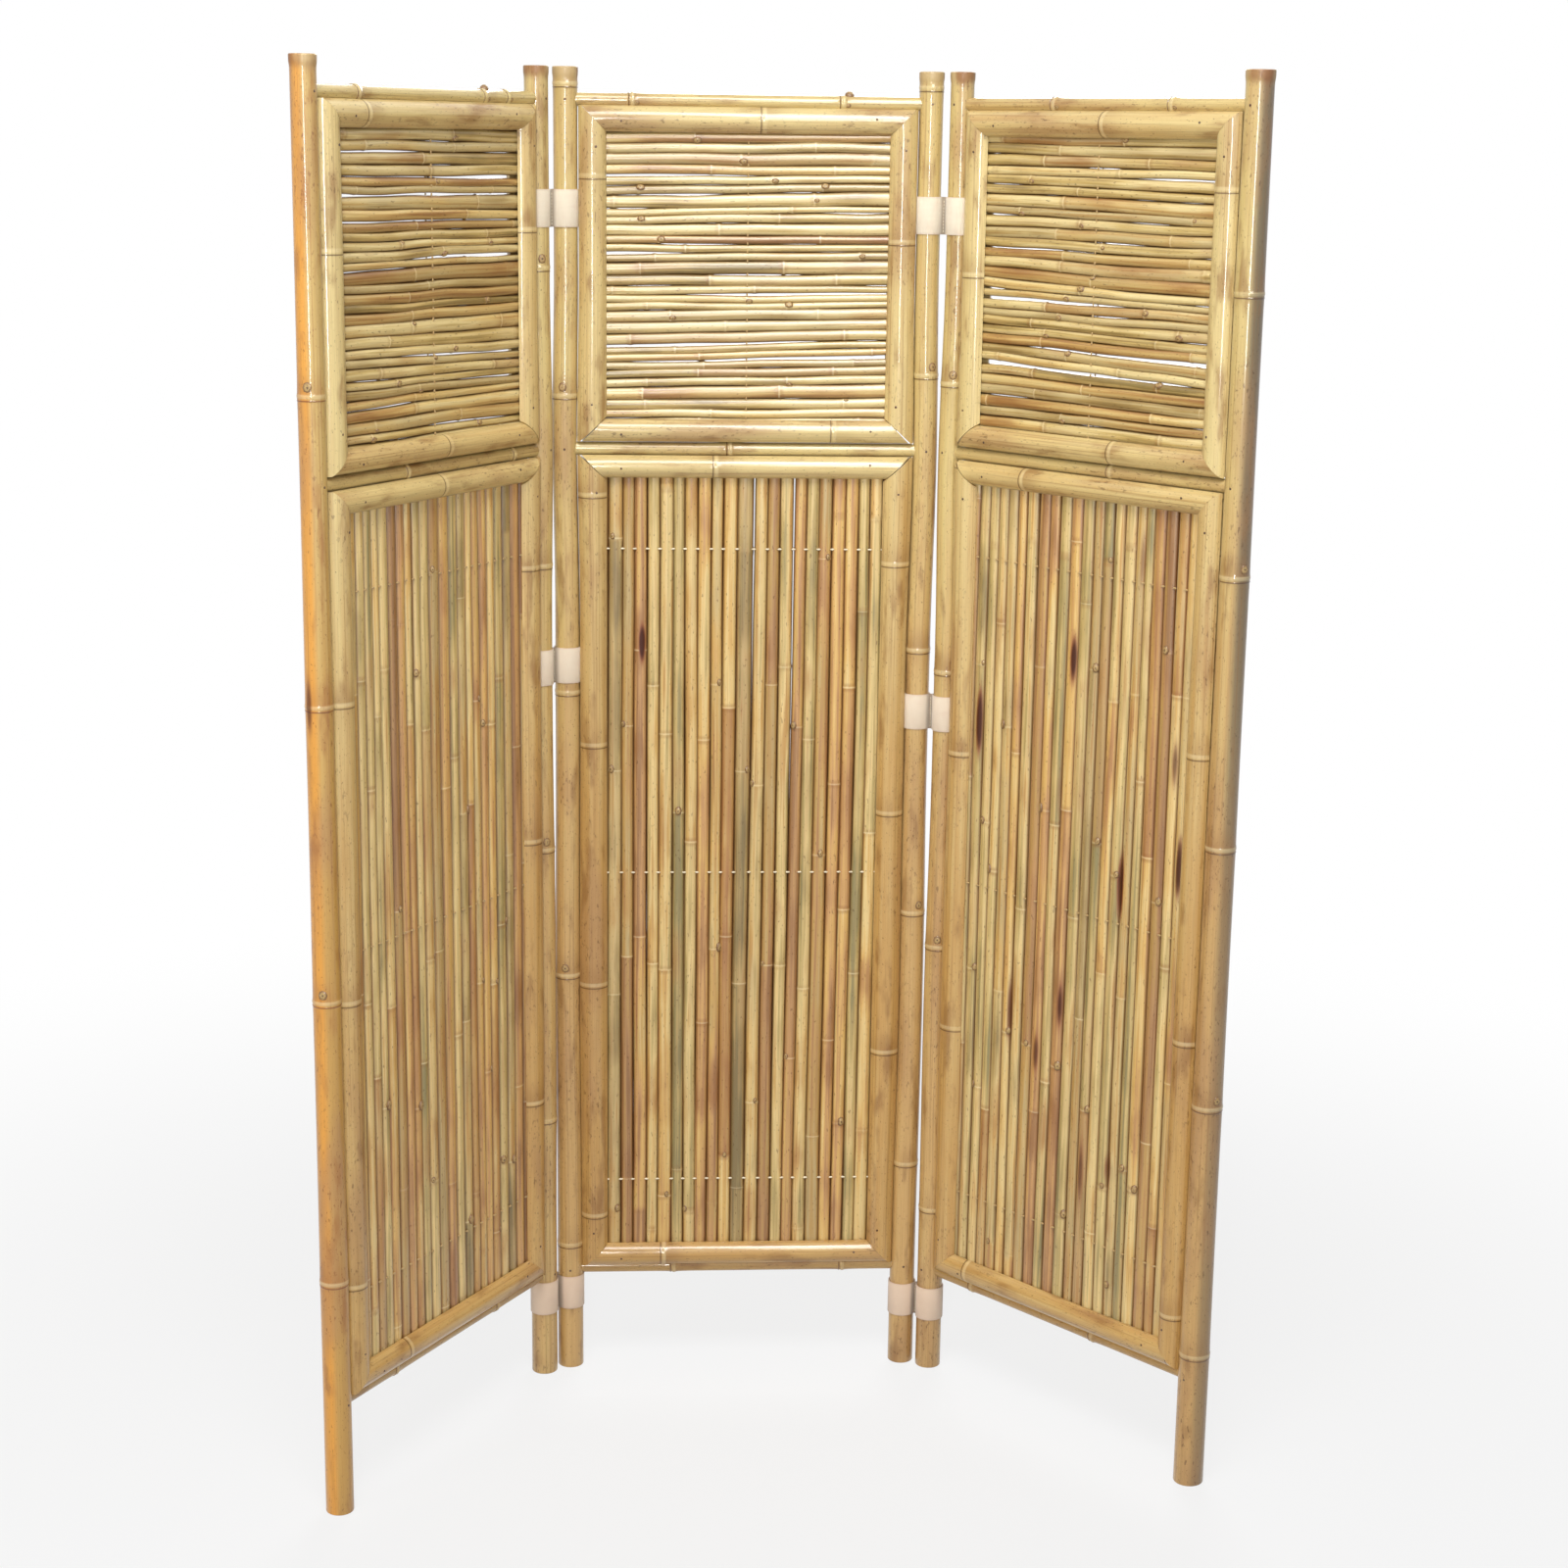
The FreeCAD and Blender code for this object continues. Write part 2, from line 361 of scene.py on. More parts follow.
def bamboo_skin(name, pale, ripe, brown, line, foot_browning, flank=None, scorches=()):
    """Lacquered bamboo; foot_browning says how much browner the feet are, and flank colours one side of a
    post.
    """
    material, g, feed = new_finish(name, {"Coat Roughness": 0.1, "IOR": 1.3})
    grain = attribute(g, "grain", "Vector")
    tone = attribute(g, "tone", "Vector")
    cut = attribute(g, "cut", "Fac")
    height = g.part(g.place(), "Z")
    fibre = stretched_noise(g, grain, 1400, 16)
    streak = stretched_noise(g, grain, 150, 3.0, 3.0)
    cloud = stretched_noise(g, grain, 30, 6.0, 4.0)
    smudge = stretched_noise(g, grain, 55, 14.0, 3.0)
    stain = stretched_noise(g, grain, 22, 4.5, 3.0)
    scratch = stretched_noise(g, grain, 420, 2.4)
    mildew = stretched_noise(g, grain, 300, 110)
    freckle = stretched_noise(g, grain, 620, 240, 1.0)
    head = g.step(height + (smudge - 0.5) * 20 * mm, *head_band)

    # The height term makes the skin browner towards the feet.
    ripeness = streak * 0.6 + cloud * 0.4 + g.part(tone, "X") * 0.3 + g.step(height, 1.5, 0.5) * foot_browning
    skin = g.blend(g.step(ripeness, 0.5, 1.25), colour(pale), colour(ripe))
    # A flank tints one side of a post: the golden side of the left outer post, or painted shade on the
    # right side of the right outer post.
    if flank:
        hue, start, end, at_foot = flank
        strength = at_foot + g.step(height, 0.5, 1.5) * (0.85 - at_foot)
        skin = mottle(g, skin, [(g.part(grain, "X"), start * mm, end * mm, strength, hue)])
    skin = mottle(g, skin, [
        (stain, 0.50, 0.70, 0.55, "a67c52"), (smudge, 0.53, 0.74, 0.65, brown),
        (scratch, 0.54, 0.72, 0.4, brown), (fibre, 0.42, 0.8, 0.32, brown),
    ])
    skin = tint(g, skin, g.step(mildew, 0.60, 0.72) * g.step(stain, 0.42, 0.6) * 0.5, line)
    skin = mottle(g, skin, [(freckle, 0.66, 0.76, 0.55, line)])
    skin = node_colours(g, skin, cloud, brown, line)
    browned = g.blend(g.step(stain, 0.46, 0.60), colour("bda378"), colour("8e6242"))
    skin = g.blend(head * 0.8, skin, browned)
    skin, charred = scorched(g, skin, cloud, scorches)
    wood = g.blend(g.step(freckle, 0.4, 0.7), colour("e2cf9c"), colour("a98552"))
    feed("Base Color", g.blend(cut, skin, wood))

    feed("Coat Weight", 0.7 - g.step(cut + head + charred, 0.0, 1.0) * 0.6)
    feed("Roughness", 0.34 + fibre * 0.14 + g.step(smudge, 0.5, 0.8) * 0.1 + cut * 0.3)
    relief = fibre * 0.6 + freckle * 0.25 + streak
    feed("Normal", g.bump(relief, 0.2, 0.4 * mm))
    return material


burn = middle_of("left_leaf_post_outer") + Vector((-11 * mm, -13 * mm, 0))
burn.z = 1.05
gold_flank = ("e09a38", 4, -6, 0.8)
# Painted shade: the right side of the right outer post is darkened to grey, more towards the head.
painted_shade_flank = ("5a5044", -8, 4, 0.5)
bamboo = {name: bamboo_skin(name, *look) for name, look in {
    "golden_culm": ("cbb070", "c0964f", "9c6430", "6a2f18", 0.6, gold_flank, [(burn, 48 * mm, 0.6)]),
    "straw_culm": ("d2bd7e", "c6a065", "8a6236", "4a2a16", 0.42),
    # painted shade on the right side of the right outer post
    "painted_shade_culm": ("d2bd7e", "c29b60", "8a6236", "4a2a16", 0.5, painted_shade_flank),
    "rail_pole": ("d2bd80", "bb965a", "86592b", "542e14", 0.5),
    "split_pole": ("d8c388", "c09757", "8a5f30", "4c2e16", 0.4),
}.items()}
print("bamboo skins:", list(bamboo))

# %% [markdown]
# Posts and rails are turnings, so a lathe makes them: a profile of radius and height is carried round
# the axis. Blender's Screw modifier could do it, but a few lines of our own also let every ring carry
# its distance from the nearest node and a mark for sawn faces, which the skin needs. A ring of radius 0
# is one vertex, so the ends close without a seam.

# %% The lathe
sharp_angle = math.radians(38)


def new_object(name, data):
    thing = bpy.data.objects.new(name, data)
    bpy.context.scene.collection.objects.link(thing)
    return thing


def new_piece(name, points, faces, finish, extras):
    """An object from points and faces, smooth but for its sharp edges, with attributes for its finish."""
    mesh = bpy.data.meshes.new(name)
    mesh.from_pydata([tuple(p) for p in points], [], faces)
    for label, values in extras.items():
        values = np.asarray(values, np.float32)
        kind = "FLOAT_VECTOR" if values.ndim == 2 else "FLOAT"
        layer = mesh.attributes.new(label, kind, "POINT")
        layer.data.foreach_set("vector" if values.ndim == 2 else "value", values.ravel())
    mesh.shade_smooth()
    mesh.set_sharp_from_angle(angle=sharp_angle)
    mesh.materials.append(finish)
    return new_object(name, mesh)


def turned(profile, sides):
    """Points and faces of a turning, and the ring that each point is on."""
    points, rings, faces, starts = [], [], [], []
    for number, (radius, height) in enumerate(profile):
        count = sides if radius > 0 else 1
        starts.append((len(points), count))
        for i in range(count):
            angle = 2 * math.pi * i / sides
            points.append((radius * math.cos(angle), radius * math.sin(angle), height))
            rings.append(number)
    for (low, low_count), (high, high_count) in zip(starts, starts[1:]):
        for i in range(sides):
            j = (i + 1) % sides
            under = [low + i % low_count, low + j % low_count]
            over = [high + j % high_count, high + i % high_count]
            faces.append(list(dict.fromkeys(under + over)))
    return np.array(points), faces, np.array(rings)


drum_points, drum_faces, _ = turned([(0, 0), (1, 0), (1, 1), (0, 1)], 12)
print("lathe: a closed drum of 12 sides has", len(drum_points), "points and", len(drum_faces), "faces")

# %% [markdown]
# A node is more than a ring. The culm flares a little, the sheath leaves a fine sharp lip, and a rounded
# ridge stands just above it. The profile adds these three to the straight skin, with rings set close
# together there and far apart between nodes, where nothing happens. The same rule with smaller numbers
# shapes a rail.

# %% The shape of a node
below_node = [-32, -18, -10, -7.5, -6.2, -5.5, -5, -4.4, -3.6, -2.4, -1.2]
above_node = [0, 1.2, 2.4, 4, 7, 12, 22]
node_stations = np.array(below_node + above_node) * mm


def hump(away, reach):
    """1 at a place, and next to nothing at twice the reach from it."""
    return np.exp(-(away / reach) ** 2)


def node_relief(away, ridge):
    """How far the skin stands out at a distance from a node whose ridge has this height."""
    flare = 0.3 * hump(away, 14 * mm)
    crest = 0.7 * hump(away, 2.6 * mm)
    lip = 0.5 * hump(away + sheath_line, 0.8 * mm)
    return ridge * (flare + crest + lip)


def from_nearest(heights, nodes):
    """Signed distance of each height from its nearest node."""
    gaps = np.asarray(heights)[:, None] - np.asarray(nodes)[None, :]
    return gaps[np.arange(len(gaps)), np.abs(gaps).argmin(1)]


def pole_stations(low, high, nodes, longest=60 * mm):
    """Heights of the rings between two ends: close at the nodes, no gap longer than the longest."""
    marks = [low, high] + [n + s for n in nodes for s in node_stations if low < n + s < high]
    marks = np.unique(np.round(marks, 6))
    filled = [np.linspace(a, b, int((b - a) / longest) + 2)[:-1] for a, b in zip(marks, marks[1:])]
    return np.append(np.concatenate(filled), high)


print("relief at a node, in mm:", (node_relief(node_stations, 0.9 * mm) / mm).round(2))

# %% [markdown]
# A post's sizes are read off its flat-sided solid: the radius at the foot, the heights where the ridge
# stands out, and the open cup at the top. The real culm tapers from foot to top, and it isn't straight:
# the two culms at a fold are held apart by the straps, and between straps they bow towards each other.
# The last post at the right is a stouter culm than the rest.

# %% Sizes of a post
post_taper = 1.3 * mm
lower_bow = 2.2 * mm
upper_bow = 3.2 * mm
strap_ease = 50 * mm
stouter = {"right_leaf_post_outer": 1.8 * mm}
folds = {
    "left": ("centre_leaf_post_left", "left_leaf_post_inner"),
    "right": ("centre_leaf_post_right", "right_leaf_post_inner"),
}


def post_bend(name, heights):
    """Shift in X and Y, at each height, of a post that bows to its neighbour at a fold."""
    heights = np.asarray(heights)
    for fold, pair in folds.items():
        if name in pair:
            other = pair[1 - pair.index(name)]
            way = (middle_of(other) - middle_of(name)).xy.normalized()
            below, between, above = [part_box(fold + "_strap_" + s) for s in ("bottom", "middle", "top")]
            free = np.array([below[1].z, between[0].z, between[1].z, above[0].z])
            free += strap_ease * np.array([1, -1, 1, -1])
            span = np.interp(heights, free, (0, 1, 1, 2))
            bow = np.where(span < 1, lower_bow, upper_bow) * np.sin(math.pi * span) ** 2
            return bow[..., None] * np.array(way)
    return np.zeros(heights.shape + (2,))


def skin_at(sizes, height):
    """Radius of a culm at a height: more than its mean at the foot, less at the top."""
    return sizes["skin"] + post_taper * (1 - 2 * height / sizes["top"])


def culm_sizes(node):
    """Sizes of a culm, read from the corners of its solid."""
    axis = middle_of(node)
    points = np.array([v.co for v in frame["nodes"][node].data.vertices])
    radius = np.hypot(points[:, 0] - axis.x, points[:, 1] - axis.y)
    height = points[:, 2]
    skin = radius[height < mm].max()
    inside = radius < skin - 2 * mm
    return {
        "skin": skin + stouter.get(node, 0.0),
        "ridge": radius.max() - skin,
        "nodes": np.unique(height[radius > radius.max() - 0.1 * mm].round(4)),
        "top": height.max(),
        "cup": radius[inside].max(),
        "cup_floor": height[inside].min(),
    }


for label, size in culm_sizes("left_leaf_post_outer").items():
    print("left outer post,", label, "in mm:", (size / mm).round(1))

# %% [markdown]
# The profile for the lathe runs from the middle of the foot up the skin and down into the cup. No culm
# is a perfect tube: it is drawn in a hair between nodes and flares at the head, where it was sawn through
# a node. The sawn ends have rounded edges, which catch the light.

# %% Profile of a post
edge = 1.4 * mm
waist_depth = 0.25 * mm
waist_reach = 90 * mm
head_flare = 0.9 * mm
head_node = 9 * mm
head_swell = 11 * mm
head_ease = 1.5 * mm


def rounded_end(radius, end, inward):
    """Three rings that round the edge of a pole's end."""
    turns = [math.radians(a) for a in (90, 60, 30)]
    return [(radius - edge + edge * math.cos(t), end + inward * edge * (1 - math.sin(t))) for t in turns]


def culm_profile(sizes):
    """Radius and height of every ring of a post, and which rings are sawn faces."""
    top = sizes["top"]
    heights = pole_stations(edge, top - edge, np.append(sizes["nodes"], top - head_node))
    away = from_nearest(heights, sizes["nodes"])
    waist = waist_depth * (1 - hump(away, waist_reach))
    head = head_flare / 2 * (1 + np.tanh((heights - top + head_swell) / (2 * head_ease)))
    radii = skin_at(sizes, heights) + node_relief(away, sizes["ridge"]) - waist + head
    foot = rounded_end(radii[0], 0.0, 1)
    rim = rounded_end(radii[-1], top, -1)[::-1]
    cup = [(sizes["cup"] + 0.6 * mm, top), (sizes["cup"], top - 0.7 * mm),
           (sizes["cup"], sizes["cup_floor"] + mm), (sizes["cup"] - mm, sizes["cup_floor"])]
    sawn_foot = [(0.0, 0.0), (sizes["cup"], 0.0)]
    floor_of_cup = [(0.0, sizes["cup_floor"] + 0.5 * mm)]
    profile = sawn_foot + foot + list(zip(radii, heights)) + rim + cup + floor_of_cup
    sawn = [1.0] * 3 + [0.0] * (len(profile) - len(cup) - 5) + [1.0] * (len(cup) + 2)
    return profile, sawn


print("profile of a post:", len(culm_profile(culm_sizes("left_leaf_post_outer"))[0]), "rings")

# %% [markdown] Six posts now come off the lathe. Each is made slightly oval, takes its bow and carries
# the attributes of its skin.

# %% Posts
rng = np.random.default_rng(41)
post_sides = 40
post_oval = 0.006


def node_marks(away):
    """Distance from the nearest node, and its side as -1 to 1; the side fades out far from the node."""
    side = np.clip(away / (3 * mm), -1, 1) * np.clip(2 - np.abs(away) / (50 * mm), 0, 1)
    return np.column_stack([np.abs(away), side, np.zeros(len(away))])


def pole_marks(points, rings, nodes, sawn):
    """Attributes that the bamboo skin reads, for a pole that stands on its own Z."""
    count = len(points)
    offset = np.array([0.0, 0.0, rng.uniform(0, 40)])
    return {
        "grain": points + offset,
        "tone": np.tile(rng.uniform(0, 1, 3), (count, 1)),
        "node": node_marks(from_nearest(points[:, 2], nodes)),
        "cut": np.asarray(sawn)[rings],
    }


def make_post(name, finish):
    sizes = culm_sizes(name)
    profile, sawn = culm_profile(sizes)
    points, faces, rings = turned(profile, post_sides)
    marks = pole_marks(points, rings, sizes["nodes"], sawn)
    angle = np.arctan2(points[:, 1], points[:, 0])
    points[:, :2] *= (1 - post_oval * (1 + np.cos(2 * angle + rng.uniform(0, 6))))[:, None]
    axis = middle_of(name)
    points[:, :2] += post_bend(name, points[:, 2]) + (axis.x, axis.y)
    return new_piece(name + "_culm", points, faces, finish, marks)


def settle(piece, body, node):
    """The piece rides on its body and stands for its CAD node."""
    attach(piece, body)
    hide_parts(node)
    return piece


# The right outer post takes the finish with painted shade on its right side.
outer_kinds = {
    "left_leaf_post_outer": ("golden_culm", "golden_culm"),
    "right_leaf_post_outer": ("straw_culm", "painted_shade_culm"),
}
for leaf, sides in leaf_sides.items():
    for side in sides:
        name = post_of(leaf, side)
        slot, finish = outer_kinds.get(name, ("straw_culm", "straw_culm"))
        post = settle(make_post(name, bamboo[finish]), leaf, name)
        print(post.name, len(post.data.polygons), "faces")

# %% [markdown]
# Rails are thinner poles that end against the posts. A joiner hollows such an end to a saddle, the fish
# mouth, so that it sits on the round of the post. Here the last rings are pushed along the pole until
# they follow the post's radius, which is a one-line formula: the further from the middle, the deeper the
# post falls away.

# %% Rails
rail_nodes = {
    "left_leaf_rail_top": (-143, 114, 164),
    "left_leaf_rail_mid": (-60, 170),
    "left_leaf_rail_bottom": (-120, 110),
    "centre_leaf_rail_top": (-150, 123),
    "centre_leaf_rail_mid": (-20,),
    "centre_leaf_rail_bottom": (-90, 150),
    "right_leaf_rail_top": (-74, 113),
    "right_leaf_rail_mid": (40,),
    "right_leaf_rail_bottom": (-150, 70),
}
rail_sides = 28
rail_slimming = 0.985
rail_ridge = 1.7 * mm
saddle_gap = 0.3 * mm


def outward_bend(leaf, side, heights):
    """How far the bow of a post carries it away from its leaf."""
    post = post_of(leaf, side)
    out = (middle_of(post) - leaf_place[leaf].translation).xy.normalized()
    return post_bend(post, heights) @ np.array(out)


def make_rail(name, leaf):
    corners = local_points(name, leaf)
    radius = np.ptp(corners[:, 2]) / 2
    height = corners[:, 2].mean()
    first, last = leaf_sides[leaf]
    span = half_span(leaf, last)
    post = skin_at(culm_sizes(post_of(leaf, first)), height) + saddle_gap
    nodes = np.array(rail_nodes[name]) * mm
    stations = pole_stations(-span + post, span - post, nodes)
    radii = radius * rail_slimming + node_relief(from_nearest(stations, nodes), rail_ridge)
    profile = [(0.0, stations[0])] + list(zip(radii, stations)) + [(0.0, stations[-1])]
    points, faces, rings = turned(profile, rail_sides)
    marks = pole_marks(points, rings, nodes, np.zeros(len(profile)))
    at_first, at_last = [outward_bend(leaf, side, height) for side in (first, last)]
    reach = span - np.sqrt(post ** 2 - points[:, 1] ** 2) + np.where(points[:, 2] < 0, at_first, at_last)
    ends = (rings < 2) | (rings > len(profile) - 3)
    points[ends, 2] = np.sign(points[ends, 2]) * reach[ends]
    placed = np.column_stack([points[:, 2], points[:, 1], height - points[:, 0]])
    piece = new_piece(name + "_pole", placed, faces, bamboo["rail_pole"], marks)
    piece.data.transform(leaf_place[leaf])
    return settle(piece, leaf, name)


rails = [make_rail(name, name.split("_rail")[0]) for name in rail_nodes]
print("rails:", len(rails), "poles, the first", round(rails[0].dimensions.length, 3), "m corner to corner")

# %% [markdown]
# The windows are framed by split poles: half-rounds laid flat on the mat, front and back, and mitred at
# the corners like a picture frame. The section is one arc over a flat. Stations run square across the
# bar, so that nodes stay square too, and a station that would pass the mitre is held on it. Points that
# meet there become one, and the leftover quads turn into triangles, which closes the slanted end
# cleanly.

# %% Half-rounds
arc_steps = 14
bar_ridge = 0.7 * mm
bar_ring_gap = 40 * mm
mitre_gap = 0.3 * mm


def half_round(width, spare, crown, length, nodes):
    """A mitred split pole as (across, out, along) points, and faces; its spare edge is cut square."""
    radius = (width ** 2 / 4 + crown ** 2) / (2 * crown)
    reach = math.asin(width / 2 / radius)
    angles = np.linspace(-reach, reach, arc_steps + 1)
    across = width / 2 + radius * np.sin(angles)
    out = crown - radius + radius * np.cos(angles)
    stations = pole_stations(0.0, length, nodes, bar_ring_gap)
    relief = node_relief(from_nearest(stations, nodes), bar_ridge)
    points, faces, known = [], [], {}

    def point(station, column):
        shift = max(across[column] - spare, 0.0) + mitre_gap / 2
        along = min(max(stations[station], shift), length - shift)
        key = (column, round(along, 6))
        if key not in known:
            known[key] = len(points)
            lift = 1 + np.interp(along, stations, relief) / radius * math.cos(angles[column])
            points.append((across[column], out[column] * lift, along))
        return known[key]

    columns = list(range(arc_steps + 1))
    for s in range(len(stations) - 1):
        for a, b in zip(columns, columns[1:] + columns[:1]):
            corners = [point(s, a), point(s, b), point(s + 1, b), point(s + 1, a)]
            corners = list(dict.fromkeys(corners))
            if len(corners) > 2:
                faces.append(corners)
    last = len(stations) - 1
    faces.append([point(0, c) for c in reversed(columns)])
    faces.append([point(last, c) for c in columns])
    return np.array(points), faces


trial_points, trial_faces = half_round(24 * mm, 0.0, 9 * mm, 0.5, [0.25])
print("half-round: a bar of half a metre has", len(trial_points), "points and", len(trial_faces), "faces")

# %% [markdown]
# Each bar is made twice, for the front and the back of its window, with its nodes at other places. The
# upright bars reach out a little past their solids, under the round of the post, and follow its bow, so
# that no light shows between bar and post. The bars at the middle rail are planed a little narrower, so
# that the rail shows as its own bar.

# %% Split poles
post_reveal = -0.3 * mm
rail_reveal = 3 * mm


def bar_nodes(length):
    """Places of the nodes along a bar: a gap that grows or shrinks a little from bar to bar."""
    gap = rng.uniform(300, 390) * mm
    first = rng.uniform(0.15, 1.0) * gap
    return np.arange(first, max(length, first + mm), gap)


def make_trim(name, leaf, side):
    corners = local_points(name, leaf)
    low, high = corners.min(0), corners.max(0)
    if "_upper_" in name and side != "top":
        low[2] += rail_reveal
    if "_lower_" in name and side != "bottom":
        high[2] -= rail_reveal
    base = np.abs(corners[:, 1]).min()
    level = side in ("top", "bottom")
    along_axis, across_axis = (0, 2) if level else (2, 0)
    length = high[along_axis] - low[along_axis] + mitre_gap
    width = high[across_axis] - low[across_axis]
    inward = 1 if side in ("bottom", leaf_sides[leaf][0]) else -1
    spare = 0.0
    if not level:
        skin = culm_sizes(post_of(leaf, side))["skin"]
        spare = half_span(leaf, side) - skin - post_reveal - np.abs(corners[:, 0]).max()
    all_points, all_faces, all_marks = [], [], []
    for facing in (-1, 1):
        nodes = bar_nodes(length)
        points, faces = half_round(width + spare, spare, high[1] - base, length, nodes)
        marks = pole_marks(points, np.zeros(len(points), int), nodes, [0.0])
        placed = np.zeros_like(points)
        placed[:, along_axis] = low[along_axis] - mitre_gap / 2 + points[:, 2]
        start = low[across_axis] if inward > 0 else high[across_axis]
        placed[:, across_axis] = start + inward * (points[:, 0] - spare)
        placed[:, 1] = facing * (base + points[:, 1])
        if not level:
            share = 1 - points[:, 0] / (width + spare)
            placed[:, 0] -= inward * share * outward_bend(leaf, side, placed[:, 2])
        if (facing * inward > 0) == level:
            faces = [f[::-1] for f in faces]
        shift = sum(len(p) for p in all_points)
        all_points.append(placed)
        all_faces += [[c + shift for c in f] for f in faces]
        all_marks.append(marks)
    marks = {label: np.concatenate([m[label] for m in all_marks]) for label in all_marks[0]}
    piece = new_piece(name + "_split", np.concatenate(all_points), all_faces, bamboo["split_pole"], marks)
    piece.data.transform(leaf_place[leaf])
    return settle(piece, leaf, name)


trims = []
for leaf, sides in leaf_sides.items():
    for window in ("upper", "lower"):
        for side in ("top", "bottom") + sides:
            trims.append(make_trim(leaf + "_" + window + "_trim_" + side, leaf, side))
print("split poles:", len(trims), "bars, front and back")

# %% [markdown]
# The mats are the heart of the screen: rows of reeds that are never quite straight, never equally thick
# and change colour from one joint to the next. Geometry Nodes fit this well, because the whole row
# follows one rule. Each reed gets a random width at either end. Adding the widths up along the row, with
# Accumulate Field, says where each reed lies, so the reeds press together and the row always fills its
# window. A little more is added where a slit lets light through, and a bend of each reed by itself opens
# short slits too.

# %% Where the reeds lie
def chance(g, given, who, number, low, high):
    """A random number that stays with one reed or one joint."""
    return g.add("FunctionNodeRandomValue", {"data_type": "FLOAT"},
                 {"Min": low, "Max": high, "ID": who, "Seed": given["Seed"] + number})


def row_rule(g, given, reed, domain, group):
    """Centre, width and far edge of each reed, at either end of the row, as pairs of wires."""
    first = 1 + given["Spread"] * chance(g, given, reed, 1, -1.0, 1.0)
    last = first * (1 + given["Taper"] * chance(g, given, reed, 2, -1.0, 1.0))
    width = given["Width"]
    centres, widths, edges = [], [], []
    for number, share, opening in ((3, first, "Slit Start"), (4, last, "Slit End")):
        luck = g.math("MAXIMUM", chance(g, given, reed, number, given["Slit Odds"] * -1, 1.0), 0.0)
        slit = luck * given[opening]
        run = g.add("GeometryNodeAccumulateField", {"data_type": "FLOAT", "domain": domain},
                    {"Value": share + slit, "Group ID": group}, "Trailing")
        scale = width / run["Total"]
        centres.append((run + share * 0.5) * scale - width * 0.5)
        widths.append(share * scale)
        edges.append((run + share + slit * 0.5) * scale - width * 0.5)
    return centres, widths, edges


def between(pair, share):
    return pair[0] + (pair[1] - pair[0]) * share


def wave(g, given, share, reed, name, scales):
    """A slow wave along the reeds, as strong as the input of that name."""
    along, across, seeded = scales
    height = g.noise(g.join(share * along, reed * across, given["Seed"] * seeded), 1.0)
    return (height - 0.5) * given[name]


def sway(g, given, share, reed):
    """A wave that neighbouring reeds share."""
    return wave(g, given, share, reed, "Sway", (2.2, 0.22, 7.3))


def lie(g, given, centres, share, reed):
    """Where a reed lies in the row: its centre, the shared wave and a bend of its own."""
    bow = wave(g, given, share, reed, "Bow", (2.7, 5.3, 3.1))
    return between(centres, share) + sway(g, given, share, reed) + bow


def joint_rule(g, given, reed):
    """Distance between the joints of a reed, and how far they are shifted along it."""
    gap = given["Joint Gap"] * chance(g, given, reed, 5, 0.7, 1.35)
    return gap, gap * chance(g, given, reed, 6, 0.0, 1.0)


print("rule: widths are summed along the row, so reeds touch and fill the window")

# %% [markdown]
# A Geometry Nodes tree has named inputs, as a function has. Those of the mat say how many reeds there
# are, how large the window is and how uneven the row may be, so one tree serves all six mats. A few
# helpers add what every tree needs: a start with its inputs, attributes to store and read, and points to
# move.

# %% Mat inputs
mat_inputs = {
    "Int": ("Reeds", "Rings", "Sides", "Seed", "Rows"),
    "Float": ("Length", "Width", "Depth", "Spread", "Taper", "Slit Odds", "Slit Start", "Slit End",
              "Snug", "Sway", "Bow", "Joint Gap", "Joint Swell", "Row Pitch", "Knot", "Bud Odds", "Bud"),
    "Material": ("Reed Finish", "Thread Finish", "Bud Finish"),
}


def new_tree(name, inputs):
    """A Geometry Nodes tree with named inputs, listed by their kind, and the node that gives them."""
    tree = bpy.data.node_groups.new(name, "GeometryNodeTree")
    for kind, labels in inputs.items():
        for label in labels:
            tree.interface.new_socket(label, in_out="INPUT", socket_type="NodeSocket" + kind)
    tree.interface.new_socket("Mesh", in_out="OUTPUT", socket_type="NodeSocketGeometry")
    graph = Graph(tree)
    return tree, graph, graph.add("NodeGroupInput")


def store(g, geometry, name, value, kind="FLOAT", domain="POINT"):
    return g.add("GeometryNodeStoreNamedAttribute", {"data_type": kind, "domain": domain},
                 {"Geometry": geometry, "Name": name, "Value": value})


def named(g, name, kind="FLOAT"):
    return g.add("GeometryNodeInputNamedAttribute", {"data_type": kind}, {"Name": name})


def put(g, geometry, x, y, z):
    return g.add("GeometryNodeSetPosition", {}, {"Geometry": geometry, "Position": g.join(x, y, z)})


print("mat inputs:", sum(map(len, mat_inputs.values())))

# %% [markdown]
# The tree grows the reeds from lines. A line is cut into rings and copied once for each reed, and the
# copies are set side by side. The rings are drawn together at the joints with a sine, so a joint gets its
# swelling without thousands of rings elsewhere. Curve to Mesh sweeps a circle along each line, and
# attributes go along for the finish. A reed that is thicker than the mat is flattened to it, as in the
# press that made the mat.

# %% Reeds
rocking_reach = 0.35 * mm
ring_pull = 0.85
swell_reach = 5 * mm
number_stride = 64


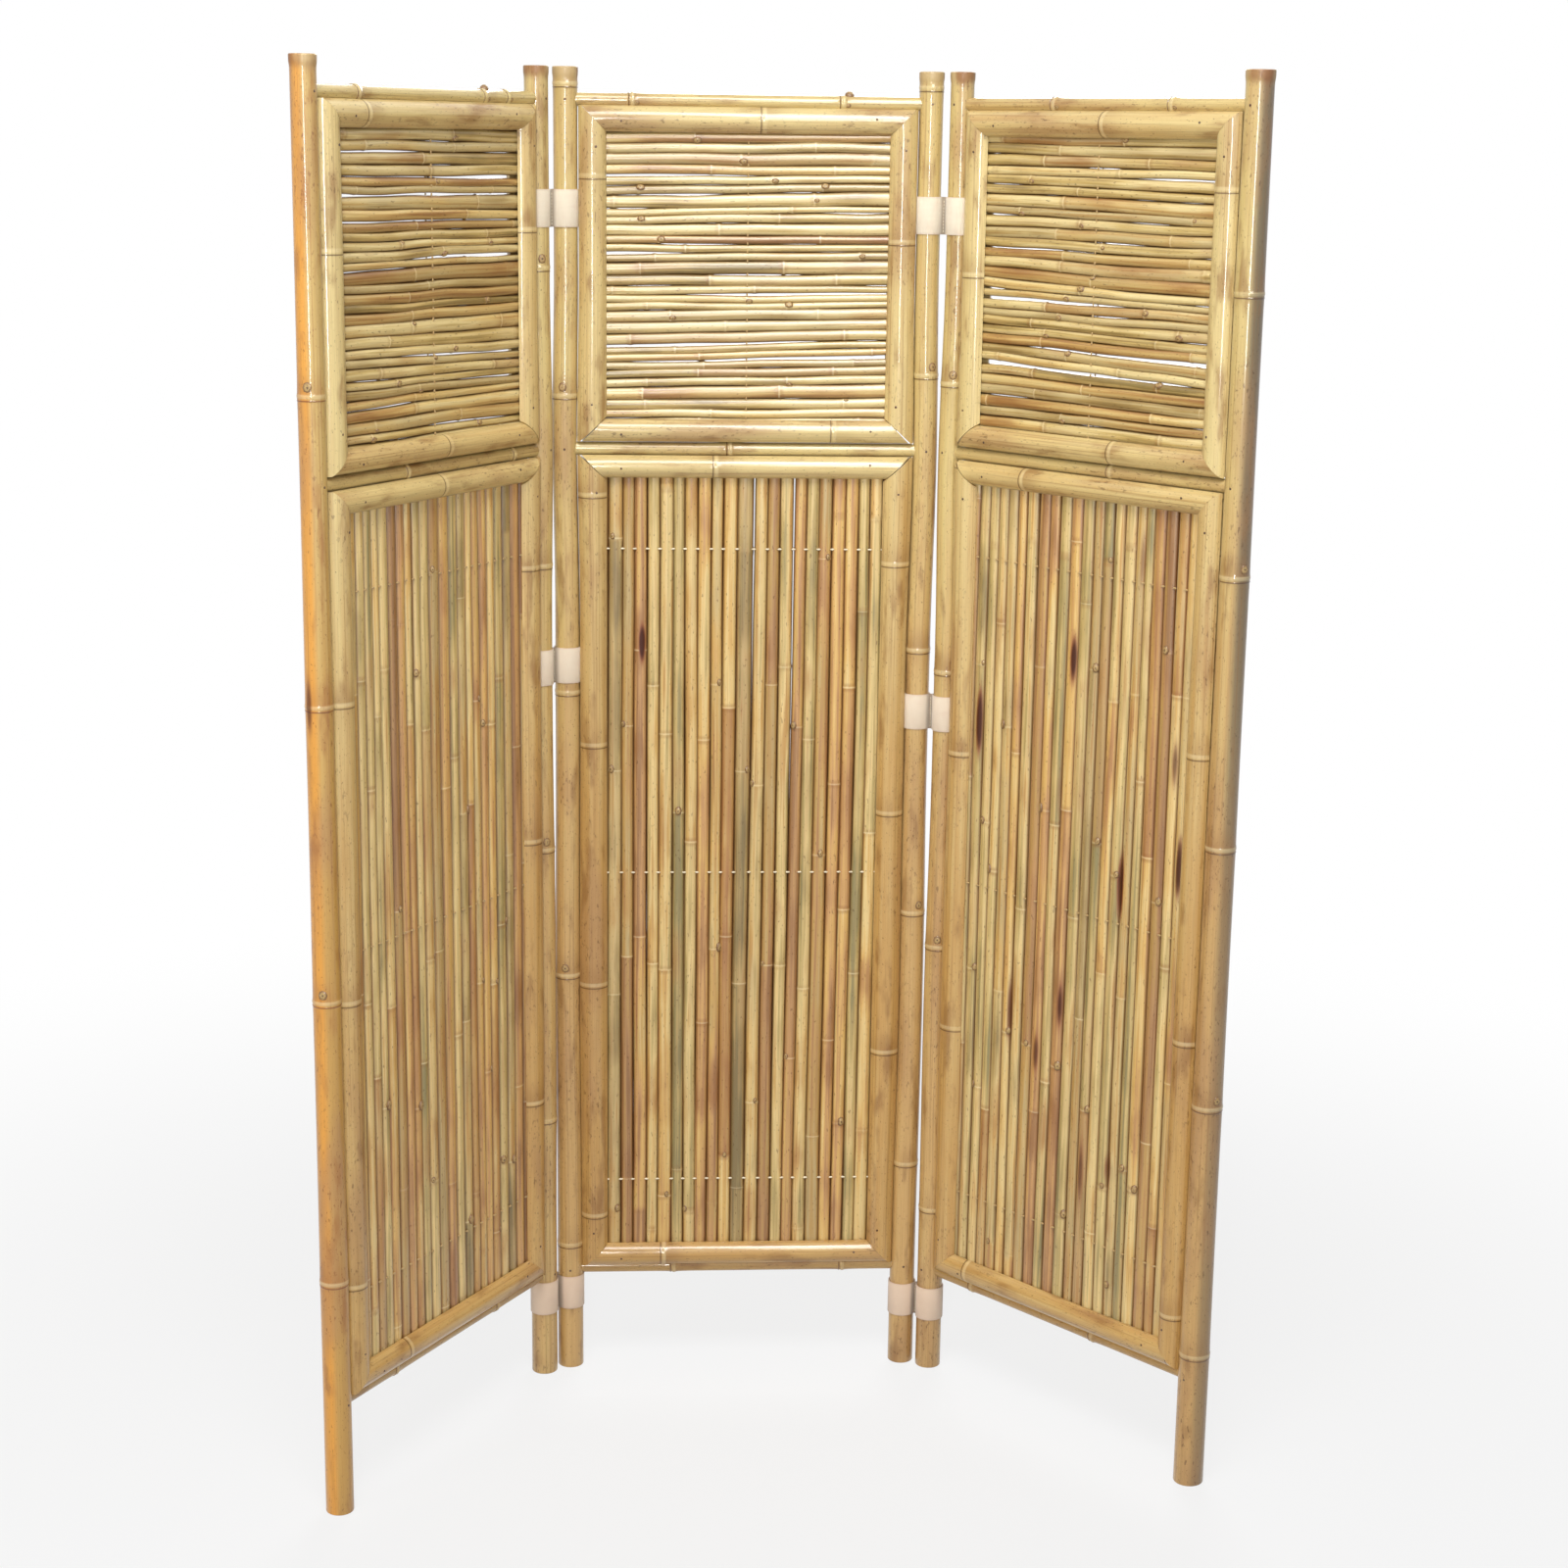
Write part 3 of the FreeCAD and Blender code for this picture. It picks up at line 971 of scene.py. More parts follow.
def grow_reeds(g, given):
    """Reeds side by side along X, as a mesh with the attributes that the reed skin reads."""
    length = given["Length"]
    line = g.add("GeometryNodeCurvePrimitiveLine", {},
                 {"Start": g.join(length * -0.5, 0.0, 0.0), "End": g.join(length * 0.5, 0.0, 0.0)})
    line = g.add("GeometryNodeResampleCurve", {"mode": "COUNT"},
                 {"Curve": line, "Count": given["Rings"]})
    reeds = g.add("GeometryNodeDuplicateElements", {"domain": "SPLINE"},
                  {"Geometry": line, "Amount": given["Reeds"]})
    reeds = store(g, reeds, "reed", reeds["Duplicate Index"], "INT", "CURVE")
    reed = named(g, "reed", "INT")
    centres, widths, _ = row_rule(g, given, reed, "CURVE", 0)
    joint_gap, phase = joint_rule(g, given, reed)

    x = g.part(g.add("GeometryNodeInputPosition"), "X")
    fade = 1 - g.math("POWER", g.math("ABSOLUTE", x / (length * 0.5)), 6.0)
    pull = g.math("SINE", (x + phase) / joint_gap * (2 * math.pi)) * joint_gap * (ring_pull / (2 * math.pi))
    drawn = x - pull * fade
    share = drawn / length + 0.5
    across = lie(g, given, centres, share, reed)
    rocking = (g.noise(g.join(share * 3, reed * 1.7, 5.0), 1.0) - 0.5) * (2 * rocking_reach)
    reeds = put(g, reeds, drawn, across, rocking)

    joint = (x + phase) / joint_gap
    away = g.math("ABSOLUTE", joint - g.math("ROUND", joint)) * joint_gap
    swell = 1 + given["Joint Swell"] * g.near(away, 0.0, swell_reach)
    radius = between(widths, x / length + 0.5) * 0.5 * swell * given["Snug"]
    stretch = g.math("FLOOR", joint) + reed * number_stride
    mood = chance(g, given, stretch, 10, 0.0, 1.0)
    tone = g.join(chance(g, given, reed, 7, 0.0, 1.0), chance(g, given, reed, 8, 0.0, 1.0), mood)
    reeds = store(g, reeds, "tone", tone, "FLOAT_VECTOR")
    reeds = store(g, reeds, "node", away)
    reeds = store(g, reeds, "axis", g.add("GeometryNodeInputPosition"), "FLOAT_VECTOR")
    reeds = store(g, reeds, "girth", radius)
    section = g.add("GeometryNodeCurvePrimitiveCircle", {},
                    {"Resolution": given["Sides"], "Radius": 1.0})
    mesh = g.add("GeometryNodeCurveToMesh", {},
                 {"Curve": reeds, "Profile Curve": section, "Scale": radius, "Fill Caps": True})
    place = g.add("GeometryNodeInputPosition")
    off = g.vector("SUBTRACT", place, named(g, "axis", "FLOAT_VECTOR"))
    grain = g.join(g.part(off, "Y"), g.part(off, "Z"), g.part(place, "X") + named(g, "reed", "INT") * 1.37)
    mesh = store(g, mesh, "grain", grain, "FLOAT_VECTOR")
    beside = g.math("ABSOLUTE", g.part(g.vector("NORMALIZE", off), "Y"))
    mesh = store(g, mesh, "beside", beside)
    flat = g.math("MINIMUM", (given["Depth"] * 0.5 - rocking_reach) / named(g, "girth"), 1.0)
    sunk = g.part(off, "Z") * (flat - 1)
    mesh = g.add("GeometryNodeSetPosition", {}, {"Geometry": mesh, "Offset": g.join(0.0, 0.0, sunk)})
    for name in ("axis", "girth", "reed"):
        mesh = g.add("GeometryNodeRemoveAttribute", {}, {"Geometry": mesh, "Name": name})
    mesh = g.add("GeometryNodeSetShadeSmooth", {}, {"Geometry": mesh})
    return g.add("GeometryNodeSetMaterial", {}, {"Geometry": mesh, "Material": given["Reed Finish"]})


print("reeds: they swell within", swell_reach / mm, "mm of a joint")

# %% [markdown]
# Knots, buds, nails and stitches are all so small that a ball of a few dozen faces will do for each,
# squeezed to its shape. Instance on Points sets the balls on bare points, and Realize Instances turns
# them into one mesh.

# %% Balls on points
ball_segments = 8
ball_rings = 6


def ball(g):
    """A ball that knows how far each point is from its own axis, for finishes with rings."""
    shape = g.add("GeometryNodeMeshUVSphere", {},
                  {"Segments": ball_segments, "Rings": ball_rings, "Radius": 1.0})
    place = g.add("GeometryNodeInputPosition")
    rim = g.vector("LENGTH", g.join(g.part(place, "X"), g.part(place, "Y"), 0.0))
    return store(g, shape, "rim", rim)


def dotted(g, points, settings, finish):
    """Balls on points, made real, smooth and finished."""
    dots = g.add("GeometryNodeInstanceOnPoints", {}, {"Points": points, "Instance": ball(g), **settings})
    dots = g.add("GeometryNodeRealizeInstances", {}, {"Geometry": dots})
    dots = g.add("GeometryNodeSetShadeSmooth", {}, {"Geometry": dots})
    return g.add("GeometryNodeSetMaterial", {}, {"Geometry": dots, "Material": finish})


print("ball:", ball_segments * ball_rings, "faces")

# %% [markdown]
# The binding thread shows as a knot in the gap between two reeds, at one height in an upper mat and at
# three in a lower one. The points of the knots follow the same row rule as the reeds, so they find the
# gaps without measuring the mesh.

# %% Knots
knot_size = (1.3 * mm, 3.0 * mm, 1.4 * mm)
knot_sink = 1.5 * mm


def row_points(g, given, layers):
    """A point for each reed in each layer, the number of its reed and that of its layer."""
    reeds = given["Reeds"]
    points = g.add("GeometryNodePoints", {}, {"Count": reeds * layers})
    index = g.add("GeometryNodeInputIndex")
    return points, g.math("MODULO", index, reeds), g.math("FLOOR", (index + 0.5) / reeds)


def tie_knots(g, given):
    """Knots of the thread between neighbouring reeds, in every row, front and back."""
    points, reed, layer = row_points(g, given, given["Rows"] * 2)
    row = g.math("FLOOR", (layer + 0.5) / 2)
    face = (layer - row * 2) * 2 - 1
    _, _, edges = row_rule(g, given, reed, "POINT", layer)
    along = (row - (given["Rows"] - 1) * 0.5) * given["Row Pitch"]
    share = along / given["Length"] + 0.5
    across = between(edges, share) + sway(g, given, share, reed + 0.5)
    points = put(g, points, along, across, face * (given["Depth"] * 0.5 - knot_sink))
    inner = g.math("LESS_THAN", reed, given["Reeds"] - 1.5)
    size = g.add("ShaderNodeVectorMath", {"operation": "SCALE"},
                 {0: knot_size, "Scale": given["Knot"]})
    return dotted(g, points, {"Selection": inner, "Scale": size}, given["Thread Finish"])


print("knots: up to", [round(2 * size / mm, 1) for size in knot_size], "mm large")

# %% [markdown]
# A bud, cut short, sits at many of the joints, on a side that chance picks. With the buds the tree is
# complete, and it joins knots, buds and reeds into one mesh.

# %% Buds and the whole mat
joint_count = 6
edge_margin = 40 * mm
bud_above_joint = 3 * mm
bud_shape = (0.7, 0.5, 0.28)


def joint_buds(g, given):
    """Cut buds beside some of the joints, front or back."""
    length = given["Length"]
    points, reed, layer = row_points(g, given, joint_count)
    joint = layer * number_stride + reed
    centres, widths, _ = row_rule(g, given, reed, "POINT", layer)
    joint_gap, phase = joint_rule(g, given, reed)
    along = (layer - (joint_count / 2 - 1)) * joint_gap - phase
    share = along / length + 0.5
    across = lie(g, given, centres, share, reed)
    side = g.math("SIGN", chance(g, given, joint, 21, -1.0, 1.0))
    lean = chance(g, given, joint, 22, -0.9, 0.9)
    radius = between(widths, share) * 0.5
    deep = g.math("MINIMUM", radius, given["Depth"] * 0.5 - rocking_reach)
    beside = g.math("SINE", lean)
    outward = g.math("COSINE", lean) * side
    points = put(g, points, along + bud_above_joint, across + beside * radius, outward * deep)
    half_row = given["Reeds"] * 0.5
    wanted = g.math("LESS_THAN", g.math("ABSOLUTE", along), length * 0.5 - edge_margin)
    wanted = wanted * g.math("LESS_THAN", g.math("ABSOLUTE", reed + 0.5 - half_row), half_row - 1)
    wanted = wanted * g.math("LESS_THAN", chance(g, given, joint, 23, 0.0, 1.0), given["Bud Odds"])
    turn = g.add("FunctionNodeAlignRotationToVector", {"axis": "Z"},
                 {"Vector": g.join(0.0, beside, outward)})
    width = given["Bud"] * chance(g, given, joint, 24, 0.6, 1.2)
    size = g.join(*[width * share for share in bud_shape])
    settings = {"Selection": wanted, "Rotation": turn, "Scale": size}
    return dotted(g, points, settings, given["Bud Finish"])


def build_mat_tree():
    tree, g, given = new_tree("reed_mat", mat_inputs)
    both = g.tree.nodes.new("GeometryNodeJoinGeometry")
    for branch in (tie_knots(g, given), joint_buds(g, given), grow_reeds(g, given)):
        tree.links.new(branch.socket, both.inputs[0])
    solid = g.add("GeometryNodeRealizeInstances", {}, {"Geometry": Wire(g, both.outputs[0])})
    g.add("NodeGroupOutput", {}, {"Mesh": solid})
    return tree


reed_mat = build_mat_tree()
print("mat tree:", len(reed_mat.nodes), "nodes")

# %% [markdown]
# Reeds are the thin cousins of the posts, split from many plants, so their colours wander: straw, tan,
# grey green, a pinkish brown where a joint was left in its sheath. A colour ramp over the reed's own
# random number picks its hue, and the random number of each joint shifts it again. Scorch marks, left
# where green reeds were heated straight, are listed one by one, because they are easy to spot on the real
# leaves.

# %% Reed skin
def reed_skin(name, hues, brown, line, shade, brink, scorches):
    """Reeds of many hues, with painted shade: beyond the brink, beside its neighbours, a reed takes the
    colour of shade.
    """
    lacquer = {"Coat Weight": 0.9, "Coat Roughness": 0.26, "Coat IOR": 1.55, "IOR": 1.3}
    material, g, feed = new_finish(name, lacquer)
    grain = attribute(g, "grain", "Vector")
    tone = attribute(g, "tone", "Vector")
    away = attribute(g, "node", "Fac")
    beside = attribute(g, "beside", "Fac")
    fibre = stretched_noise(g, grain, 1300, 18)
    streak = stretched_noise(g, grain, 200, 4.0, 3.0)
    cloud = stretched_noise(g, grain, 24, 7.0, 3.0)
    speck = stretched_noise(g, grain, 420, 160, 1.0)

    own = g.part(tone, "X") * 0.7 + g.part(tone, "Z") * 0.3
    pick = own + (streak - 0.5) * 1.1 + (cloud - 0.5) * 0.8
    stops = [(i / (len(hues) - 1), colour(h)) for i, h in enumerate(hues)]
    skin = g.add("ShaderNodeValToRGB", {"stops": stops}, {"Fac": pick}, "Color")
    sheathed = g.step(g.part(tone, "Z") * 0.5 + g.part(tone, "Y") * 0.35 + cloud * 0.45, 0.78, 1.05) * 0.6
    skin = tint(g, skin, sheathed, brown)
    skin = mottle(g, skin, [
        (g.part(tone, "Y") + (cloud - 0.5) * 0.8, 0.42, 0.0, 0.4, line),
        (cloud, 0.54, 0.78, 0.6, brown), (streak, 0.56, 0.72, 0.4, brown),
        (fibre, 0.4, 0.85, 0.35, brown), (speck, 0.66, 0.76, 0.5, line),
    ])
    collar = g.near(away, 3 * mm, 5 * mm) * g.part(tone, "Y")
    skin = tint(g, skin, collar * 0.45, brown)
    skin = tint(g, skin, g.near(away, 0.0, 1.8 * mm) * 0.45, "ecdcae")
    skin, charred = scorched(g, skin, cloud, scorches)
    # Painted shade: the sides of each reed, where it meets its neighbours, are darkened.
    feed("Base Color", mottle(g, skin, [(beside, brink, 1.0, 0.9, shade)]))

    if scorches:
        feed("Coat Weight", lacquer["Coat Weight"] - charred * 0.8)
    feed("Roughness", 0.38 + fibre * 0.14 + cloud * 0.06)
    relief = fibre * 0.5 + streak + g.near(away, 0.0, 2 * mm)
    feed("Normal", g.bump(relief, 0.25, 0.4 * mm))
    return material


def on_leaf(leaf, x, z, reach, strength):
    """A spot on the front of a leaf: millimetres along it and up it, and the half length of the mark."""
    return leaf_place[leaf] @ Vector((x * mm, -7 * mm, z * mm)), reach * mm, strength


scorches = [on_leaf("centre_leaf", -137, 1051, 40, 1.0)]
scorches += [on_leaf("right_leaf", *spot) for spot in (
    (85, 782, 62, 1.0), (178, 825, 60, 0.75), (-8, 1064, 45, 0.85), (-168, 957, 62, 0.85),
    (164, 955, 50, 0.6), (99, 1207, 55, 0.5), (-96, 570, 75, 0.8), (-9, 597, 50, 0.75),
    (-48, 520, 45, 0.65), (84, 393, 40, 0.85), (38, 380, 70, 0.6), (-24, 887, 55, 0.45),
)]
upper_hues = ("84703e", "c2a766", "e0cd94", "d8bb78", "c09a5a", "946a38")
lower_hues = ("8c8052", "bda568", "e0c688", "d6ae64", "c49660", "9c744a")
# The last colour and number are the painted shade between reeds and the brink where it begins.
upper_reed = reed_skin("upper_reed", upper_hues, "8f5f30", "5a3a1a", "5e3c10", 0.58, [])
lower_reed = reed_skin("lower_reed", lower_hues, "93602f", "5a3818", "5e3408", 0.62, scorches)
print("reed skins:", upper_reed.name, "and", lower_reed.name, "with", len(scorches), "scorch marks")

# %% [markdown]
# The thread that strings the reeds is twisted yarn, so fine ridges run round it at a slant. The large
# mat of the middle leaf has undyed cotton, and the others a brown bast that hardly shows. A cut bud has
# a dark pith, a pale ring of wood and a brown edge. Each ball knows how far its points are from its own
# axis, and the rings follow.

# %% Thread and bud finishes
def thread_finish(name, dark, light):
    material, g, feed = new_finish(name, {"Sheen Weight": 0.3})
    place = g.place()
    slant = g.vector("DOT_PRODUCT", place, (0.6, 0.2, 0.75))
    ply = g.math("SINE", slant * (2 * math.pi / (1.1 * mm)))
    fluff = stretched_noise(g, place, 900, 900)
    feed("Base Color", g.blend(fluff, colour(dark), colour(light)))
    feed("Roughness", 0.75 + fluff * 0.15)
    feed("Normal", g.bump(ply, 0.5, 0.2 * mm))
    return material


def scar_finish():
    material, g, feed = new_finish("branch_scar", {"Coat Weight": 0.3})
    rough = stretched_noise(g, g.place(), 420, 420, 3.0)
    rim = attribute(g, "rim", "Fac") + (rough - 0.5) * 1.2
    skin = g.blend(g.step(rim, 0.3, 1.0), colour("b4965e"), colour("7c5a34"))
    feed("Base Color", tint(g, skin, g.step(rim, 0.4, 0.0), "5c4024"))
    feed("Roughness", 0.5 + rough * 0.25)
    feed("Normal", g.bump(rough, 0.4, 0.4 * mm))
    return material


cotton_thread = thread_finish("cotton_thread", "e3d3ab", "f6eed8")
bast_thread = thread_finish("bast_thread", "9c7a48", "c8aa6e")
branch_scar = scar_finish()
print("small finishes:", cotton_thread.name, bast_thread.name, branch_scar.name)

# %% [markdown]
# A tree runs inside a modifier. The library wants plain meshes, so the modifier goes once it has run, and
# the mesh that it made is kept.

# %% From tree to mesh
def drop_empty_slots(mesh):
    """Node primitives bring an empty material slot along; faces are counted again without it."""
    slots = list(mesh.materials)
    kept = [m for m in slots if m]
    faces = np.zeros(len(mesh.polygons), np.int32)
    mesh.polygons.foreach_get("material_index", faces)
    places = np.array([kept.index(m) if m else 0 for m in slots], np.int32)
    mesh.materials.clear()
    for material in kept:
        mesh.materials.append(material)
    mesh.polygons.foreach_set("material_index", places[faces])


def grown(name, tree, inputs, mesh=None):
    """An object with the mesh that a tree makes from its inputs."""
    piece = new_object(name, mesh or bpy.data.meshes.new(name + "_seed"))
    modifier = piece.modifiers.new(tree.name, "NODES")
    modifier.node_group = tree
    sockets = {item.name: item.identifier for item in tree.interface.items_tree if item.in_out == "INPUT"}
    for label, value in inputs.items():
        modifier[sockets[label]] = value
    depsgraph = bpy.context.evaluated_depsgraph_get()
    done = bpy.data.meshes.new_from_object(
        piece.evaluated_get(depsgraph), preserve_all_data_layers=True, depsgraph=depsgraph)
    piece.modifiers.remove(modifier)
    piece.data = done
    drop_empty_slots(done)
    return piece


print("trees to run:", reed_mat.name)

# %% [markdown]
# Each window now gets its mat. The tree works with reeds along X and the row along Y, so an upper mat is
# only tipped up, and a lower mat is also turned to stand its reeds upright. The size of the mat is read
# from its solid.

# %% Mats
tipped_up = Matrix.Rotation(math.radians(90), 4, "X")
stood_up = tipped_up @ Matrix.Rotation(math.radians(90), 4, "Z")
every_mat = {"Bud Odds": 0.75, "Thread Finish": bast_thread, "Bud Finish": branch_scar}
mat_kinds = {
    "upper": {
        "Reeds": 31, "Rings": 44, "Sides": 10, "Rows": 1, "Row Pitch": 0.0, "Spread": 0.22, "Taper": 0.28,
        "Slit Odds": 7.0, "Slit Start": 0.36, "Slit End": 0.4, "Snug": 1.09, "Sway": 6 * mm, "Bow": 5 * mm,
        "Joint Gap": 0.23, "Joint Swell": 0.1, "Knot": 0.8, "Bud": 8 * mm, "Reed Finish": upper_reed,
    },
    "lower": {
        "Reeds": 23, "Rings": 90, "Sides": 12, "Rows": 3, "Row Pitch": 0.448, "Spread": 0.16, "Taper": 0.16,
        "Slit Odds": 4.0, "Slit Start": 0.0, "Slit End": 0.13, "Snug": 1.07, "Sway": 4 * mm, "Bow": 3 * mm,
        "Joint Gap": 0.40, "Joint Swell": 0.07, "Knot": 1.0, "Bud": 9 * mm, "Reed Finish": lower_reed,
    },
}
first_seeds = {"upper": 11, "lower": 31}


def make_mat(leaf, window, seed):
    node = leaf + "_" + window + "_mat"
    low, high = local_box(node, leaf)
    across, depth, upward = high - low
    level = window == "upper"
    length, width = (across, upward) if level else (upward, across)
    inputs = {"Seed": seed, "Length": length, "Width": width, "Depth": depth}
    inputs.update(every_mat | mat_kinds[window])
    if node == "centre_leaf_lower_mat":
        inputs["Thread Finish"] = cotton_thread
    mat = grown(node + "_reeds", reed_mat, inputs)
    turn = tipped_up if level else stood_up
    mat.data.transform(leaf_place[leaf] @ Matrix.Translation((low + high) / 2) @ turn)
    return settle(mat, leaf, node)


for number, leaf in enumerate(leaf_sides):
    for window, seed in first_seeds.items():
        mat = make_mat(leaf, window, seed + number)
        print(mat.name, len(mat.data.polygons), "faces", [m.name for m in mat.data.materials])

# %% [markdown]
# The hinges are loops of white webbing round two neighbouring posts, sewn together between them. Seen
# from above, the band runs round one post, slips into the waist, and runs round the other. Its path is
# two arcs and four short Bezier curves. A rounded strip is swept along it, and a UV map in metres lets
# the weave follow the band. The UV belongs to face corners, so the band closes on itself with no smeared
# column.

# %% Webbing paths
band_steps = 40
tuck_steps = 6
leave_angle = math.radians(24)
arc_lead = 4 * mm
waist_lead = 3 * mm


def bezier(p0, p1, p2, p3, steps):
    """Points on a cubic Bezier curve."""
    t = np.linspace(0, 1, steps + 1)[:, None]
    return p0 * (1 - t) ** 3 + 3 * p1 * t * (1 - t) ** 2 + 3 * p2 * t ** 2 * (1 - t) + p3 * t ** 3


def half_band(radius, pitch, half_ply):
    """Plan of the band from the waist round the post at the origin and back; the other is on +X."""
    angles = np.linspace(leave_angle, 2 * math.pi - leave_angle, band_steps)
    arc = radius * np.column_stack([np.cos(angles), np.sin(angles)])
    waist = np.array([pitch / 2, half_ply])
    lead = np.array([math.sin(leave_angle), -math.cos(leave_angle)])
    tuck = bezier(arc[0], arc[0] + lead * arc_lead, waist - (waist_lead, 0), waist, tuck_steps)
    start = tuck[::-1][:-1]
    return np.concatenate([start, arc, (start * (1, -1))[::-1]])


def band_path(radii, pitch, half_ply):
    here = half_band(radii[0], pitch, half_ply)
    there = half_band(radii[1], pitch, half_ply) * (-1, -1) + (pitch, 0)
    return np.concatenate([here[:-1], there[:-1]])


print("band path:", len(band_path((18 * mm, 18 * mm), 42 * mm, mm / 2)), "points round two posts")

# %% [markdown]
# Webbing is a narrow plain weave. Two sine waves over the UV map give it: ribs across the band, and
# crossings that shift by half a step from one rib to the next. The cloth is cream at the top and has
# taken a pinkish tan lower down, as on the real screen. Its edges are a little soiled, and the tuck
# between the posts is darkened as painted shade, where the band dips into the gap.

# %% Webbing finish
strap_low, strap_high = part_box("left_strap_top")
strap_height = strap_high.z - strap_low.z
rib_pitch = 1.5 * mm
crossing_pitch = 1.9 * mm
hem_reach = 3 * mm


def webbing_finish():
    material, g, feed = new_finish("webbing", {"Sheen Weight": 0.4, "Sheen Roughness": 0.5})
    uv = g.add("ShaderNodeUVMap", {"uv_map": "weave"})
    run = g.part(uv, "X")
    rise = g.part(uv, "Y")
    pick = rise / rib_pitch
    crossing = g.math("SINE", (run / crossing_pitch + g.math("FLOOR", pick) * 0.5) * (2 * math.pi))
    rib = g.math("SINE", pick * (2 * math.pi))
    weave = crossing * 0.6 + rib * 0.4
    soil = g.noise(g.vector("MULTIPLY", uv, (60, 60, 1)), 3.0)
    height = g.part(g.place(), "Z")
    hem = g.near(rise, 0.0, hem_reach) + g.near(rise, strap_height, hem_reach)
    cloth = g.blend(g.step(weave, -1.0, 0.6), colour("d4c0a0"), colour("f5ecd9"))
    cloth = mottle(g, cloth, [(height, 1.5, 0.1, 0.6, "dcb89c"), (soil, 0.5, 0.8, 0.35, "d8b9a2")])
    cloth = tint(g, cloth, hem * 0.3, "c9a48c")
    # Painted shade: the band is darkened in the tuck, where it dips between the posts.
    tuck = attribute(g, "tuck", "Fac")
    feed("Base Color", mottle(g, cloth, [(tuck, 0.05, 0.7, 0.75, "6a5640")]))
    feed("Roughness", 0.8 + soil * 0.1)
    feed("Normal", g.bump(weave, 0.6, 0.35 * mm))
    return material


webbing = webbing_finish()
print("webbing finish for a band", round(strap_height / mm, 1), "mm high:", webbing.name)

# %% [markdown]
# The size of each strap is read from its solid, whose loops have flat sides: the corners lie further out
# than the flats, and a cosine gives the true radius back. The loop follows the taper of its post, so it
# is a little wider at the foot than at the head. Each strap rides on the hinge body between two leaves.

# %% Straps
loop_sides = 16
tuck_shade_reach = 6 * mm
thickest_ply = 1.2 * mm
ply_gap = 0.05 * mm
selvedge = 0.6 * mm


def strap_sizes(node, axes):
    """Inner radius of each loop, the thickness of the band, and its lower and upper edge."""
    points = np.array([v.co for v in frame["nodes"][node].data.vertices])
    far = [np.hypot(points[:, 0] - a.x, points[:, 1] - a.y) for a in axes]
    flat = math.cos(math.pi / loop_sides)
    inner = [f.min() * flat for f in far]
    ply = [np.unique(f[f < (r + 4 * mm)].round(5)).max() * flat - r for f, r in zip(far, inner)]
    return inner, min(min(ply), thickest_ply), points[:, 2].min(), points[:, 2].max()


def make_strap(node, fold):
    """A strap, with what its stitches need: the middle between the posts, its edges and its ply."""
    axes = [middle_of(post) for post in folds[fold]]
    inner, ply, low, high = strap_sizes(node, axes)
    sizes = [culm_sizes(post) for post in folds[fold]]
    inner = [r + skin_at(s, low) - s["skin"] for r, s in zip(inner, sizes)]
    along = (axes[1] - axes[0]).xy
    pitch = along.length
    along.normalize()
    plan = band_path([r + ply / 2 for r in inner], pitch, ply / 2 + ply_gap)
    step_out = np.roll(plan, -1, 0) - np.roll(plan, 1, 0)
    step_out /= np.linalg.norm(step_out, axis=1)[:, None]
    normal = np.column_stack([-step_out[:, 1], step_out[:, 0]])
    run = np.concatenate([[0], np.cumsum(np.linalg.norm(np.roll(plan, -1, 0) - plan, axis=1))])
    inside = (low + selvedge, high - selvedge)
    section = [(-0.5, inside[0]), (-0.5, inside[1]), (-0.25, high), (0.25, high),
               (0.5, inside[1]), (0.5, inside[0]), (0.25, low), (-0.25, low)]
    points, faces, uvs = [], [], []
    for spot, out in zip(plan, normal):
        for offset, z in section:
            x, y = spot + out * offset * ply
            points.append((axes[0].x + along.x * x - along.y * y, axes[0].y + along.y * x + along.x * y, z))
    count, rim = len(plan), len(section)
    for i in range(count):
        j = (i + 1) % count
        for k in range(rim):
            m = (k + 1) % rim
            faces.append([i * rim + k, i * rim + m, j * rim + m, j * rim + k])
            first, last = [section[q][1] - low for q in (k, m)]
            uvs += [(run[i], first), (run[i], last), (run[i + 1], last), (run[i + 1], first)]
    # tuck: 1 in the waist between the posts, where the webbing finish paints shade
    tuck = np.clip(1 - np.abs(plan[:, 0] - pitch / 2) / tuck_shade_reach, 0, 1)
    strap = new_piece(node + "_webbing", points, faces, webbing, {"tuck": np.repeat(tuck, rim)})
    strap.data.uv_layers.new(name="weave").data.foreach_set("uv", np.array(uvs, np.float32).ravel())
    settle(strap, fold + "_hinge", node)
    return (axes[0] + axes[1]) / 2, low, high, ply


straps = {fold: [make_strap(fold + "_strap_" + level, fold) for level in ("top", "middle", "bottom")]
          for fold in folds}
band_count = sum(len(s) for s in straps.values())
print("straps:", band_count, "bands, ply", round(straps["left"][0][-1] / mm, 2), "mm")

# %% [markdown]
# The last small things repeat on every leaf: nail heads, the scars where branches were cut from the
# culms, and the stitches of the straps. All three are little domes set on a surface, so one tree serves
# them. It takes bare points that carry the way they face and the way they run, puts a dome on each, and
# makes it real.

# %% Dome tree
dome_inputs = {
    "Geometry": ("Points",), "Float": ("Length", "Breadth", "Proud"), "Material": ("Finish",),
}


def build_dome_tree():
    tree, g, given = new_tree("domes", dome_inputs)
    facing = named(g, "facing", "FLOAT_VECTOR")
    running = named(g, "running", "FLOAT_VECTOR")
    turn = g.add("FunctionNodeAlignRotationToVector", {"axis": "Z"}, {"Vector": facing})
    turn = g.add("FunctionNodeAlignRotationToVector", {"axis": "X", "pivot_axis": "Z"},
                 {"Rotation": turn, "Vector": running})
    size = g.join(given["Length"] * 0.5, given["Breadth"] * 0.5, given["Proud"])
    domes = dotted(g, given["Points"], {"Rotation": turn, "Scale": size}, given["Finish"])
    g.add("NodeGroupOutput", {}, {"Mesh": domes})
    return tree


